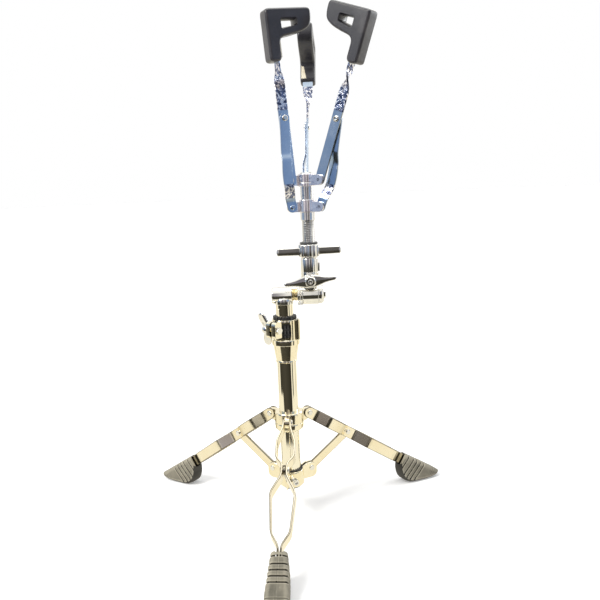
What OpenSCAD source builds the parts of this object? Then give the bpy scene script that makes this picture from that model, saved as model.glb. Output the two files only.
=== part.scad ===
// Snare drum stand: double-braced tripod, height tube with split clamp,
// toothed tilter and a three-arm basket with soft L-shaped tips.
// Units are millimetres. +Z is up and z = 0 is the floor. The tripod's tube
// axis is x = y = 0. The front leg points towards -Y.
// Every piece is its own node; the basket is stored almost closed.

/* [Tripod] */
// height of the upper leg pivots above the floor
leg_pivot_z = 152; // [148:0.5:154]
// height of the brace pivots on the lower collar
brace_pivot_z = 64; // [62:0.5:66]
// distance of both pivot rings from the tube axis
pivot_r = 32; // [31.5:0.1:33]
// length of a brace between its pivots, equal to the leg length above the waist
brace_len = 79; // [78.5:0.1:80]
// heading of the first leg, the front one, seen from above
leg_heading = 265.7; // [262:0.1:270]
// width of the leg straps
leg_strap_w = 17; // [14:0.5:18]
// thickness of the leg straps
leg_strap_t = 2.5; // [2:0.1:2.6]
// width of the brace bars
brace_w = 13; // [10:0.5:14]

/* [Column] */
// outside radius of the base tube
base_tube_r = 14.3; // [14.3:0.1:14.3]
// outside radius of the height tube
height_tube_r = 12.5; // [12:0.1:12.5]
// top of the height tube
height_tube_top = 325.8; // [324:0.1:325.8]

/* [Tilter] */
// height of the tilting axis
tilt_z = 334.5; // [334:0.5:335]
// sideways offset of the basket's axis from the tube axis
basket_x = 39; // [39:0.5:40]

/* [Basket] */
// height of the arm pivots on the upper bracket
arm_pivot_z = 497.3; // [496:0.1:498]
// height of the link pivots on the lower bracket
link_pivot_z = 460.2; // [459:0.1:461]
// distance of the arm and link pivots from the basket axis
arm_pivot_r = 23; // [22.5:0.1:24]
// distance along an arm from its pivot to the rivet of its link
rivet_s = 85.5; // [84:0.5:88]
// distance along an arm from its pivot to the lower end of its tip
tip_s = 159; // [157:0.5:161]
// headings of the back, left and right arms
arm_heading = [84, 204, 324];
// opening of the back, left and right arms from the basket axis
arm_open = [24.5, 5, 21];
// width of the arm and link straps
arm_strap_w = 15; // [13:0.5:15]
// height of a soft tip along its arm
tip_h = 68; // [64:1:72]
// reach of a tip's hook, measured from the outer face
tip_reach = 67; // [60:1:70]
// thickness of a soft tip
tip_w = 22; // [20:0.5:24]

/* [Hidden] */
$fn = 64;
gap = 0.3;
leg_drop = asin((leg_pivot_z - brace_pivot_z) / 2 / brace_len);
st = leg_strap_t;
at = 2.5;
// sideways offsets of a leg strap's middle at its stations
ear_t = 3.5;
o_pivot = ear_t + gap + st / 2;
o_bow = 12.5;
o_waist = 2.3 + st / 2;
o_wide = 16.7;
o_foot_in = 12.3;
o_foot = 2.0;
leg_path = [[-9.2, o_pivot], [12, o_pivot], [36, o_bow], [62, o_bow], [73, o_waist],
            [91, o_waist], [117, o_wide], [172, o_foot_in], [188, o_foot], [206, o_foot]];
chrome = [0.80, 0.80, 0.79];
blued = [0.62, 0.68, 0.76];
cream = [0.86, 0.83, 0.74];
black = [0.10, 0.10, 0.11];
slate = [0.20, 0.21, 0.25];
grey_rubber = [0.33, 0.32, 0.29];
brassy = [0.74, 0.62, 0.38];

function unit(v) = v / norm(v);
function perp(v) = [-v[1], v[0]];
function miter(p, i) =
    let (n = len(p),
         a = unit(i > 0 ? p[i] - p[i - 1] : p[1] - p[0]),
         b = unit(i < n - 1 ? p[i + 1] - p[i] : p[n - 1] - p[n - 2]),
         m = unit(a + b))
    perp(m) / (m * a);
// outline of a band of constant width that follows a path
function band(p, w) = concat(
    [for (i = [0 : len(p) - 1]) p[i] + miter(p, i) * w / 2],
    [for (i = [len(p) - 1 : -1 : 0]) p[i] - miter(p, i) * w / 2]);

// a cylinder lying along Y, from y0 to y1
module ycyl(r, y0, y1, rr = 0) {
    translate([0, y1, 0]) rotate([90, 0, 0]) cylinder(r = r, h = y1 - y0);
}
// a cylinder lying along X, from x0 to x1
module xcyl(r, x0, x1) {
    translate([x0, 0, 0]) rotate([0, 90, 0]) cylinder(r = r, h = x1 - x0);
}
// tube
module pipe(r1, r2, z0, z1) {
    difference() {
        translate([0, 0, z0]) cylinder(r = r2, h = z1 - z0);
        translate([0, 0, z0 - 1]) cylinder(r = r1, h = z1 - z0 + 2);
    }
}
// pan head screw along Y: the head lies on the -Y side, the plain end at y1
module cross_screw(y0, y1, shaft, head, cap) {
    difference() {
        union() {
            ycyl(shaft, y0 - 0.01, y1);
            translate([0, y0, 0]) rotate([90, 0, 0]) cylinder(r1 = head, r2 = head - 0.9, h = 1.9);
        }
        for (q = [0, 90]) rotate([0, 45 + q, 0])
            translate([-2.4, y0 - 2.9, -0.4]) cube([4.8, 1.9, 0.8]);
    }
    if (cap > 0) translate([0, y1, 0]) rotate([-90, 0, 0]) cylinder(r1 = cap, r2 = cap - 0.7, h = 1.6);
}

// ---------- column ----------
module base_tube() {
    color(cream) pipe(12.9, base_tube_r, 44, 262);
}
module tube_plug() {
    color(black) {
        translate([0, 0, 41]) cylinder(r1 = 12.6, r2 = base_tube_r, h = 3);
        translate([0, 0, 44]) cylinder(r = 12.85, h = 12);
    }
}
module lower_collar() {
    color(cream) difference() {
        union() {
            translate([0, 0, 44]) cylinder(r1 = 16.4, r2 = 18.8, h = 3);
            translate([0, 0, 47]) cylinder(r = 18.8, h = 20);
            translate([0, 0, 67]) cylinder(r1 = 18.8, r2 = 17.6, h = 1.6);
            for (i = [0 : 2]) rotate([0, 0, leg_heading + 120 * i]) {
                // clevis of two cheeks
                for (s = [-1, 1]) intersection() {
                    union() {
                        translate([14.6, 0, 49]) cube([pivot_r - 14.6, 20, 17.6], center = false);
                        translate([14.6, -20, 49]) cube([pivot_r - 14.6, 20, 17.6], center = false);
                        translate([pivot_r, 0, brace_pivot_z - 6]) ycyl(8.7, -20, 20);
                        translate([pivot_r, 0, brace_pivot_z]) ycyl(8.7, -20, 20);
                    }
                    translate([10, s > 0 ? 2.3 : -5.1, 44]) cube([40, 2.8, 32]);
                    translate([14.5, -10, 49]) cube([40, 20, 26]);
                }
            }
        }
        translate([0, 0, 40]) cylinder(r = base_tube_r, h = 40);
        for (i = [0 : 2]) rotate([0, 0, leg_heading + 120 * i]) {
            translate([16.5, -2.3, 40]) cube([40, 4.6, 50]);
            translate([pivot_r, 0, brace_pivot_z]) ycyl(2.5, -9, 9);
        }
        rotate([0, 0, leg_heading + 22]) translate([0, 0, 54]) xcyl(2.5, 10, 30);
    }
}
module collar_ring() {
    color(black) difference() {
        translate([0, 0, 68.6]) cylinder(r = 17.2, h = 3);
        translate([0, 0, 60]) cylinder(r = base_tube_r, h = 20);
        for (k = [0 : 23]) rotate([0, 0, 15 * k])
            translate([16, -1.1, 69.8]) cube([4, 2.2, 4]);
        for (i = [0 : 2]) rotate([0, 0, leg_heading + 120 * i])
            translate([16.2, -5.5, 60]) cube([10, 11, 20]);
    }
}
module collar_set_screw() {
    color(chrome) rotate([0, 0, leg_heading + 22]) translate([0, 0, 54]) difference() {
        union() {
            xcyl(2.5, base_tube_r, 18.9);
            xcyl(4.6, 18.8, 23.4);
        }
        translate([20.4, 0, 0]) rotate([0, 90, 0]) cylinder(r = 2.6, h = 5, $fn = 6);
    }
}
module collar_screws() {
    color(chrome) for (i = [0 : 2]) rotate([0, 0, leg_heading + 120 * i])
        translate([pivot_r, 0, brace_pivot_z]) mirror([0, i == 1 ? 1 : 0, 0])
            cross_screw(-5.1, 5.1, 2.5, 4.6, 4.2);
}
module clamp_casting() {
    color(cream) difference() {
        union() {
            translate([0, 0, 236]) cylinder(r1 = 14.9, r2 = 18.9, h = 26);
            translate([0, 0, 262]) cylinder(r1 = 19.4, r2 = 20.4, h = 1);
            translate([0, 0, 263]) cylinder(r = 20.4, h = 6.6);
            translate([0, 0, 269.6]) cylinder(r1 = 20.4, r2 = 19.3, h = 1);
            translate([0, 0, 270]) cylinder(r = 19.3, h = 30);
            // bolt lugs beside the split
            rotate([0, 0, 228]) translate([15, -9.2, 275]) cube([16, 18.4, 24]);
            // hinge post and its knuckle
            rotate([0, 0, -28]) translate([15, -4.6, 270]) cube([7, 9.2, 30]);
            rotate([0, 0, -28]) translate([20.2, 0, 270]) cylinder(r = 4, h = 30);
        }
        // seat of the base tube, then seat of the bush
        translate([0, 0, 230]) cylinder(r = base_tube_r, h = 32);
        translate([0, 0, 261.9]) cylinder(r = 15.55, h = 50);
        // split between the lugs
        rotate([0, 0, 228]) translate([10, -1.6, 272.5]) cube([30, 3.2, 40]);
        // window in the front
        rotate([0, 0, 266]) translate([4, -11, 274]) cube([30, 21, 21]);
        // bolt hole through the lugs
        rotate([0, 0, 228]) translate([24.6, 0, 287]) ycyl(3.1, -20, 20);
        // rounded lug corners
        rotate([0, 0, 228]) for (z = [275, 299]) translate([31, 0, z]) rotate([0, 45, 0])
            cube([5, 30, 5], center = true);
        // hinge pin hole
        rotate([0, 0, -28]) translate([20.2, 0, 288]) cylinder(r = 1.6, h = 20);
    }
}
module clamp_hinge_pin() {
    color(chrome) rotate([0, 0, -28]) translate([20.2, 0, 0]) {
        translate([0, 0, 288]) cylinder(r = 1.6, h = 12);
        translate([0, 0, 300]) cylinder(r1 = 2.7, r2 = 2.1, h = 1.4);
    }
}
module clamp_bush() {
    color(black) difference() {
        union() {
            translate([0, 0, 262.2]) cylinder(r = 15.5, h = 38);
            translate([0, 0, 300]) cylinder(r = 17.2, h = 4.6);
        }
        translate([0, 0, 250]) cylinder(r = height_tube_r + 0.08, h = 70);
        for (k = [0 : 17]) rotate([0, 0, 20 * k + 6])
            translate([15.9, -1.5, 301.2]) cube([4, 3, 6]);
        // expansion slits
        for (k = [0 : 3]) rotate([0, 0, 48 + 90 * k]) translate([10, -0.7, 276]) cube([8, 1.4, 40]);
        // ribs seen through the window
        for (z = [278, 285.5, 293]) rotate([0, 0, 266])
            translate([14.3, -9, z]) cube([4, 18, 2.2]);
    }
}
module clamp_bolt() {
    color(chrome) rotate([0, 0, 228]) translate([24.6, 0, 287]) {
        ycyl(3.0, -20.5, 9.2);
        difference() {
            translate([0, 9.2, 0]) rotate([-90, 0, 0]) cylinder(r = 5.6, h = 4, $fn = 6);
            translate([0, 13.3, 0]) rotate([90, 0, 0]) cylinder(r = 1.5, h = 1);
        }
    }
}
// two-bladed wing: a round boss along Z with blades along X and -X
module wing(boss_r, boss_h, reach, tip_h, th, root_h, bore) {
    difference() {
        union() {
            cylinder(r = boss_r, h = boss_h * 0.7);
            translate([0, 0, boss_h * 0.7]) cylinder(r1 = boss_r, r2 = boss_r * 0.78, h = boss_h * 0.3);
            for (s = [0, 180]) rotate([0, 0, s])
                translate([0, th / 2, 0]) rotate([90, 0, 0]) linear_extrude(height = th)
                    polygon([[boss_r * 0.6, boss_h * 0.1], [boss_r * 0.6, root_h], [reach * 0.62, root_h + tip_h * 0.45],
                             [reach * 0.86, root_h + tip_h * 0.55], [reach * 0.97, root_h + tip_h * 0.3],
                             [reach, root_h + tip_h * 0.05], [reach * 0.95, root_h - tip_h * 0.28],
                             [reach * 0.72, root_h - tip_h * 0.48], [boss_r, boss_h * 0.1]]);
        }
        translate([0, 0, -1]) cylinder(r = bore, h = boss_h + 2);
    }
}
module clamp_wing_nut() {
    color(chrome) rotate([0, 0, 228]) translate([24.6, -9.6, 287]) rotate([90, 0, 0])
        rotate([0, 0, 76]) wing(6.8, 9.5, 26, 13, 4.4, 8, 3.3);
}
module height_tube() {
    color(chrome) pipe(11, height_tube_r, 112, height_tube_top);
}

// ---------- tripod ----------
module leg_hub() {
    color(cream) difference() {
        union() {
            translate([0, 0, 132]) cylinder(r1 = 18.6, r2 = 21.3, h = 3.4);
            translate([0, 0, 135.4]) cylinder(r = 21.3, h = 23);
            translate([0, 0, 158.4]) cylinder(r1 = 21.3, r2 = 20.0, h = 1.6);
            for (i = [0 : 2]) rotate([0, 0, leg_heading + 120 * i]) {
                translate([pivot_r, 0, leg_pivot_z]) ycyl(7.6, -ear_t, ear_t);
                translate([16, -ear_t, leg_pivot_z - 14]) cube([10, 2 * ear_t, 21.6]);
                translate([20, -ear_t, leg_pivot_z - 7.6]) cube([pivot_r - 20, 2 * ear_t, 15.2]);
            }
            // boss for the locking bolt
            rotate([0, 0, leg_heading + 180]) translate([0, 0, 147]) xcyl(8.2, 15, 27.5);
        }
        translate([0, 0, 120]) cylinder(r = base_tube_r + 0.1, h = 60);
        for (i = [0 : 2]) rotate([0, 0, leg_heading + 120 * i]) {
            translate([pivot_r, 0, leg_pivot_z]) ycyl(2.57, -9, 9);
            // room for the rounded strap ends
            for (s = [-1, 1]) translate([pivot_r, s > 0 ? ear_t : -ear_t - 6, leg_pivot_z])
                rotate([-90, 0, 0]) cylinder(r = 11.2, h = 6);
            // core pockets in the top face
            rotate([0, 0, 60]) translate([17.9, 0, 150]) cylinder(r = 2.3, h = 12);
        }
        rotate([0, 0, leg_heading + 180]) translate([0, 0, 147]) xcyl(3.3, 10, 40);
    }
}
module hub_wing_bolt() {
    color(chrome) rotate([0, 0, leg_heading + 180]) translate([0, 0, 147]) {
        xcyl(3.2, base_tube_r + 0.3, 29);
        translate([27.8, 0, 0]) rotate([0, 90, 0]) rotate([0, 0, 84]) wing(7, 9.5, 24, 12, 4.4, 8, 0.4);
        translate([27.8, 0, 0]) xcyl(2, 0, 8);
    }
}
// one leg strap, on the +t side for s = 1 and on the -t side for s = -1
module leg_strap(i, s) {
    rotate([0, 0, leg_heading + 120 * i]) translate([pivot_r, 0, leg_pivot_z]) rotate([0, leg_drop, 0])
        mirror([0, s > 0 ? 0 : 1, 0]) difference() {
            intersection() {
                translate([0, 0, -leg_strap_w / 2]) linear_extrude(height = leg_strap_w)
                    polygon(band(leg_path, st));
                union() {
                    translate([0, -1, 0]) ycyl(leg_strap_w / 2, 0, 30);
                    translate([0, -1, -leg_strap_w / 2]) cube([206, 40, leg_strap_w]);
                }
            }
            ycyl(2.5, 0, 30);
            translate([brace_len, 0, 0]) ycyl(2.5, 0, 30);
        }
}
module leg_screws(i) {
    rotate([0, 0, leg_heading + 120 * i]) translate([pivot_r, 0, leg_pivot_z]) rotate([0, leg_drop, 0])
        mirror([0, i == 1 ? 1 : 0, 0]) {
            cross_screw(-o_pivot - st / 2, o_pivot + st / 2, 2.5, 4.6, 4.2);
            translate([brace_len, 0, 0]) cross_screw(-o_waist - st / 2, o_waist + st / 2, 2.5, 4.6, 4.2);
        }
}
module foot(i) {
    color(grey_rubber) rotate([0, 0, leg_heading + 120 * i]) difference() {
        intersection() {
            rotate([90, 0, 0]) translate([0, 0, -20]) linear_extrude(height = 40)
                polygon([[183.5, 33], [187, 21], [194, 10.5], [202, 4], [209, 0.8], [214, 0], [238, 0],
                         [249, 0.9], [258, 3], [264, 6], [266.2, 8.6], [264.6, 10.8], [200, 51.8], [196.6, 52]]);
            translate([pivot_r, 0, leg_pivot_z]) rotate([0, leg_drop, 0]) translate([0, 0, -60])
                linear_extrude(height = 90) polygon([[180, -8.8], [214, -12.5], [252, -15.2], [280, -15.8],
                         [280, 15.8], [252, 15.2], [214, 12.5], [180, 8.8]]);
        }
        translate([pivot_r, 0, leg_pivot_z]) rotate([0, leg_drop, 0]) translate([0, 0, -leg_strap_w / 2])
            linear_extrude(height = leg_strap_w)
                polygon([[176, -7.6], [187.5, -3.4], [206, -3.25], [206, 3.25], [187.5, 3.4], [176, 7.6]]);
    }
}
module brace(i) {
    color(cream) rotate([0, 0, leg_heading + 120 * i]) translate([pivot_r, 0, brace_pivot_z])
        rotate([0, -leg_drop, 0]) difference() {
            union() {
                ycyl(brace_w / 2, -2, 2);
                translate([brace_len, 0, 0]) ycyl(brace_w / 2, -2, 2);
                translate([0, -2, -brace_w / 2]) cube([brace_len, 4, brace_w]);
            }
            ycyl(2.57, -5, 5);
            translate([brace_len, 0, 0]) ycyl(2.57, -5, 5);
        }
}

// ---------- tilter ----------
module t_head() {
    color(chrome) difference() {
        union() {
            translate([0, 0, tilt_z]) {
                xcyl(12, -15.6, 11.7);
                translate([-17.6, 0, 0]) rotate([0, 90, 0]) cylinder(r1 = 10, r2 = 12, h = 2);
            }
            translate([0, 0, 321.5]) cylinder(r = 13.6, h = 9);
        }
        translate([0, 0, 310]) cylinder(r = height_tube_r, h = height_tube_top - 310);
        // seat of the neck
        translate([0, 0, tilt_z]) xcyl(8.6, 11.7, 20);
        // end recess
        translate([-20, 0, tilt_z]) xcyl(4, 0, 4);
    }
}
module tilter_neck() {
    color(brassy) translate([0, 0, tilt_z]) {
        xcyl(8.6, 11.7, 20.3);
        xcyl(4.2, 20.3, 60.6);
    }
}
// ring with teeth round its rim
module toothed_ring(x0, x1, r, n, bore) {
    difference() {
        xcyl(r, x0, x1);
        xcyl(bore, x0 - 1, x1 + 1);
        for (k = [0 : n - 1]) rotate([360 / n * k, 0, 0])
            translate([x0 - 1, -0.75, r - 1.1]) cube([x1 - x0 + 2, 1.5, 3]);
    }
}
module ratchet_fixed() {
    color(chrome) translate([0, 0, tilt_z]) toothed_ring(20.3, 23.7, 15, 24, 4.2);
}
module ratchet_moving() {
    color(chrome) translate([0, 0, tilt_z]) toothed_ring(24.0, 27.4, 15, 24, 4.6);
}
module tilter_body() {
    color(chrome) difference() {
        union() {
            translate([0, 0, tilt_z]) xcyl(14.6, 27.4, 50.4);
            intersection() {
                translate([basket_x, 0, tilt_z]) cylinder(r = 12.6, h = 20);
                translate([27.4, -20, tilt_z]) cube([23, 40, 20]);
            }
            translate([basket_x, 0, 350]) cylinder(r = 12.6, h = 36);
            translate([basket_x, 0, 386]) cylinder(r1 = 12.6, r2 = 11.4, h = 1.2);
            // pads for the clamping bolt
            translate([basket_x, 0, 356]) ycyl(10.5, -15.4, 15.4);
            // stop key on the right
            translate([basket_x + 11.6, -2, 368]) cube([3, 4, 12]);
        }
        translate([0, 0, tilt_z]) xcyl(4.6, 20, 70);
        // split of the clamp
        translate([basket_x - 1.2, -20, 349.5]) cube([2.4, 14, 16]);
        translate([basket_x, 0, 356]) ycyl(3.4, -30, 30);
        translate([basket_x, 0, 366]) cylinder(r = 9.2, h = 40);
    }
}
module tilter_end_flange() {
    color(chrome) translate([0, 0, tilt_z]) difference() {
        union() {
            xcyl(14.2, 50.4, 54.4);
            translate([54.4, 0, 0]) rotate([0, 90, 0]) cylinder(r1 = 14.2, r2 = 11.4, h = 3.4);
        }
        xcyl(4.6, 45, 60);
        translate([56.6, 0, 0]) rotate([0, 90, 0]) cylinder(r = 8.6, h = 4);
    }
}
module tilter_end_nut() {
    color(chrome) translate([60.6, 0, tilt_z]) rotate([0, -90, 0]) difference() {
        cylinder(r = 7.2, h = 3.6, $fn = 6);
        translate([0, 0, -1]) cylinder(r = 4.2, h = 8);
    }
}
module tilter_bolt() {
    color(chrome) translate([basket_x, 0, 356]) {
        difference() {
            ycyl(3.3, -30.4, 15.4);
            translate([0, -29.4, 0]) rotate([90, 0, 0]) cylinder(r = 1.7, h = 3);
        }
        translate([0, 15.4, 0]) rotate([-90, 0, 0]) cylinder(r = 6, h = 4.4, $fn = 6);
    }
}
// eye-shaped wing nut, flat across the clamp's front
module tilter_wing_nut() {
    color(chrome) translate([basket_x - 3.5, 0, 356]) translate([3.5, 0, 0]) rotate([0, -5.7, 0]) difference() {
        union() {
            translate([0, -18.4, 0]) rotate([90, 0, 0]) linear_extrude(height = 6.4)
                polygon([[-37.5, -0.6], [-35, -2.8], [-27, -3.6], [-14, -6.8], [-6, -9], [0, -9.6], [6, -9], [14, -6.8],
                         [27, -3.6], [35, -2.8], [37.5, -0.6], [37.5, 0.8], [35, 2.6], [27, 3.4], [14, 6.6], [6, 8.6],
                         [0, 9.2], [-6, 8.6], [-14, 6.6], [-27, 3.4], [-35, 2.6], [-37.5, 0.8]]);
            ycyl(9.2, -26.4, -15.8);
            translate([0, -26.4, 0]) rotate([90, 0, 0]) cylinder(r1 = 7.6, r2 = 5.6, h = 2.6);
        }
        ycyl(3.6, -40, -10);
    }
}

// ---------- basket ----------
module basket_frame() { translate([basket_x, 0, 0]) children(); }
module threaded_rod() {
    n = 25;
    p = 2.5;
    z0 = 390;
    color(chrome) basket_frame() union() {
        translate([0, 0, 366]) cylinder(r = 9.2, h = 24);
        rotate_extrude() polygon(concat([[0, z0]],
            [for (k = [0 : n - 1]) each [[9.2, z0 + p * k], [8.2, z0 + p * (k + 0.42)], [8.2, z0 + p * (k + 0.58)], [9.2, z0 + p * (k + 0.99)]]],
            [[0, z0 + p * n - 0.025]]));
        translate([0, 0, z0 + p * n - 0.03]) cylinder(r = 9.2, h = 506 - z0 - p * n);
        translate([0, 0, 505.9]) cylinder(r1 = 9.2, r2 = 7.4, h = 2.4);
    }
}
module rod_lock_ring() {
    color(chrome) basket_frame() pipe(9.2, 11.6, 387.2, 388.9);
}
module basket_wing_nut() {
    color(chrome) basket_frame() difference() {
        union() {
            translate([0, 0, 389.2]) cylinder(r1 = 13.6, r2 = 15, h = 1.6);
            translate([0, 0, 390.8]) cylinder(r = 15, h = 14.6);
            translate([0, 0, 405.4]) cylinder(r1 = 15, r2 = 13.4, h = 1.9);
            rotate([0, 0, 8]) for (s = [0, 180]) rotate([0, 0, s])
                difference() {
                    translate([12, -2.9, 391.4]) cube([35, 5.8, 11.2]);
                    for (q = [0, 1]) translate([47, 0, q ? 391.4 : 402.6]) rotate([0, 45, 0])
                        cube([4, 12, 4], center = true);
                }
        }
        translate([0, 0, 380]) cylinder(r = 9.5, h = 40);
        for (k = [0 : 11]) rotate([0, 0, 23 + 30 * k]) translate([16.1, 0, 380]) cylinder(r = 2, h = 40, $fn = 24);
    }
}
module basket_washer() {
    color(black) basket_frame() pipe(9.5, 12.8, 407.6, 410);
}
// heads of the ears, offset to the -t side
module bracket_ears(z, bore) {
    for (i = [0 : 2]) rotate([0, 0, arm_heading[i]]) difference() {
        union() {
            translate([arm_pivot_r, 0, z]) ycyl(7.2, -4.6, -1.55);
            translate([9.6, -4.6, z - 7.2]) cube([arm_pivot_r - 9.6, 3.05, 14.4]);
        }
        translate([arm_pivot_r, 0, z]) ycyl(bore, -9, 9);
        translate([0, 0, z - 20]) cylinder(r = 10, h = 40);
    }
}
module upper_bracket() {
    color(blued) basket_frame() {
        difference() {
            union() {
                translate([0, 0, 489]) cylinder(r = 12, h = 16.6);
                translate([0, 0, 505.6]) cylinder(r1 = 12, r2 = 11.2, h = 0.8);
            }
            translate([0, 0, 480]) cylinder(r = 9.2, h = 40);
            for (z = [493, 500]) rotate([0, 0, 264]) translate([0, 0, z]) xcyl(1.7, 5, 20);
        }
        bracket_ears(arm_pivot_z, 2.5);
    }
}
module lower_bracket() {
    color(blued) basket_frame() {
        difference() {
            translate([0, 0, 452.8]) cylinder(r = 12, h = 17.6);
            translate([0, 0, 440]) cylinder(r = 9.3, h = 40);
        }
        bracket_ears(link_pivot_z, 2.5);
    }
}
module bracket_sleeve() {
    color(chrome) basket_frame() difference() {
        translate([0, 0, 441.4]) cylinder(r = 10.7, h = 11.4);
        translate([0, 0, 430]) cylinder(r = 9.3, h = 40);
        rotate([0, 0, 262]) translate([0, 0, 447]) xcyl(1.8, 5, 20);
    }
}
module upper_screws() {
    color(chrome) basket_frame() for (i = [0 : 2]) rotate([0, 0, arm_heading[i]])
        translate([arm_pivot_r, 0, arm_pivot_z]) cross_screw(-4.6, 1.55, 2.5, 4.2, 3.6);
}
module lower_screws() {
    color(chrome) basket_frame() for (i = [0 : 2]) rotate([0, 0, arm_heading[i]])
        translate([arm_pivot_r, 0, link_pivot_z]) cross_screw(-4.6, -1.55, 2.5, 4.2, 0);
}
module arm_frame(i) {
    basket_frame() rotate([0, 0, arm_heading[i]]) translate([arm_pivot_r, 0, arm_pivot_z])
        rotate([0, arm_open[i], 0]) children();
}
module arm(i) {
    w = arm_strap_w;
    color(blued) arm_frame(i) {
        difference() {
            union() {
                ycyl(w / 2, -at / 2, at / 2);
                translate([-w / 2, -at / 2, 0]) cube([w, at, 122]);
            }
            ycyl(2.57, -9, 9);
            translate([0, 0, rivet_s]) ycyl(2.5, -9, 9);
        }
        // quarter turn that faces the strap to the drum
        translate([0, 0, 122]) linear_extrude(height = 28, twist = 90, slices = 10, $fn = 6) square([w, at], center = true);
        translate([-at / 2, -w / 2, 150]) cube([at, w, tip_s + 22 - 150]);
    }
}
module arm_rivet(i) {
    color(chrome) arm_frame(i) translate([0, 0, rivet_s]) {
        translate([0, -at / 2, 0]) rotate([90, 0, 0]) cylinder(r1 = 4.2, r2 = 3.2, h = 1.6);
        ycyl(2.5, -at / 2 - 0.01, 4.4);
        translate([0, 4.35, 0]) rotate([-90, 0, 0]) cylinder(r1 = 4.2, r2 = 3.0, h = 1.5);
    }
}
module tip(i) {
    h = tip_h;
    o = 13;
    e = o - tip_reach;
    color(slate) arm_frame(i) translate([0, 0, tip_s]) difference() {
        translate([0, tip_w / 2, 0]) rotate([90, 0, 0]) linear_extrude(height = tip_w)
            polygon([[o, 3], [o, h - 4], [o - 4, h], [e + 4, h], [e, h - 4], [e + 1.5, h - 20], [e + 5, h - 25],
                     [e + 14, h - 30], [e + 28, h - 33.5], [-7.5, h - 37], [-4.5, h - 40.5], [-4.5, 4], [-1.5, 0], [o - 3, 0]]);
        // long slot through the hook
        translate([-29.5, 0, h - 19.5]) rotate([0, 0, 0]) translate([0, -20, -4.25]) cube([19, 40, 8.5]);
        // pocket for the strap
        translate([-at / 2, -arm_strap_w / 2, -1]) cube([at, arm_strap_w, 23]);
        // chamfers along the side faces
        for (s = [-1, 1]) {
            translate([o, s * tip_w / 2, -5]) rotate([0, 0, 45]) translate([-1.8, -1.8, 0]) cube([3.6, 3.6, h + 10]);
            translate([e - 5, s * tip_w / 2, h]) rotate([45, 0, 0]) translate([0, -1.2, -1.2]) cube([tip_reach + 10, 2.4, 2.4]);
        }
    }
}
// a link stands at its lower pivot and points to its rivet
module link(i) {
    rx = rivet_s * sin(arm_open[i]);
    rz = arm_pivot_z - link_pivot_z + rivet_s * cos(arm_open[i]);
    b = norm([rx, rz]);
    w = arm_strap_w;
    color(blued) basket_frame() rotate([0, 0, arm_heading[i]]) translate([arm_pivot_r, 0, link_pivot_z])
        rotate([0, atan2(rx, rz), 0]) {
            difference() {
                intersection() {
                    rotate([90, 0, 0]) translate([0, 0, -20]) linear_extrude(height = 40)
                        polygon(band([[0, 0], [6.5, 40], [2.5, 84], [0, b]], w - 0.6));
                    translate([-30, 0, 0]) rotate([90, 0, 90]) linear_extrude(height = 60)
                        polygon(band([[0, -12], [0, 12], [7, 27], [7, 64], [2.8, 77], [2.8, b + 12]], at));
                }
                translate([0, 0, b]) ycyl(2.57, -9, 9);
            }
            intersection() {
                ycyl((w - 0.6) / 2, -at / 2, at / 2);
                translate([-20, -20, -20]) cube([40, 40, 22]);
            }
            difference() {
                intersection() {
                    translate([0, 0, b]) ycyl((w - 0.6) / 2, 2.8 - at / 2, 2.8 + at / 2);
                    translate([-20, -20, b - 2]) cube([40, 40, 22]);
                }
                translate([0, 0, b]) ycyl(2.57, -9, 9);
            }
            // peened end of the lower pivot
            translate([0, at / 2, 0]) rotate([-90, 0, 0]) cylinder(r1 = 3.8, r2 = 3.0, h = 1.5);
        }
}

base_tube();
tube_plug();
lower_collar();
collar_ring();
collar_set_screw();
collar_screws();
clamp_casting();
clamp_hinge_pin();
clamp_bush();
clamp_bolt();
clamp_wing_nut();
height_tube();
leg_hub();
hub_wing_bolt();
color(cream) leg_strap(0, 1);  // leg_front_strap_a
color(cream) leg_strap(0, -1);  // leg_front_strap_b
color(chrome) leg_screws(0);  // leg_front_screws
foot(0);  // foot_front
brace(0);  // brace_front
color(cream) leg_strap(1, 1);  // leg_right_strap_a
color(cream) leg_strap(1, -1);  // leg_right_strap_b
color(chrome) leg_screws(1);  // leg_right_screws
foot(1);  // foot_right
brace(1);  // brace_right
color(cream) leg_strap(2, 1);  // leg_left_strap_a
color(cream) leg_strap(2, -1);  // leg_left_strap_b
color(chrome) leg_screws(2);  // leg_left_screws
foot(2);  // foot_left
brace(2);  // brace_left
t_head();
tilter_neck();
ratchet_fixed();
ratchet_moving();
tilter_body();
tilter_end_flange();
tilter_end_nut();
tilter_bolt();
tilter_wing_nut();
threaded_rod();
rod_lock_ring();
basket_wing_nut();
basket_washer();
upper_bracket();
lower_bracket();
bracket_sleeve();
upper_screws();
lower_screws();
arm(0);  // arm_back
arm(1);  // arm_left
arm(2);  // arm_right
arm_rivet(0);  // rivet_back
arm_rivet(1);  // rivet_left
arm_rivet(2);  // rivet_right
tip(0);  // tip_back
tip(1);  // tip_left
tip(2);  // tip_right
link(0);  // link_back
link(1);  // link_left
link(2);  // link_right
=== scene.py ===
import bpy
import bmesh
import math
from mathutils import Matrix, Vector

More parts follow.
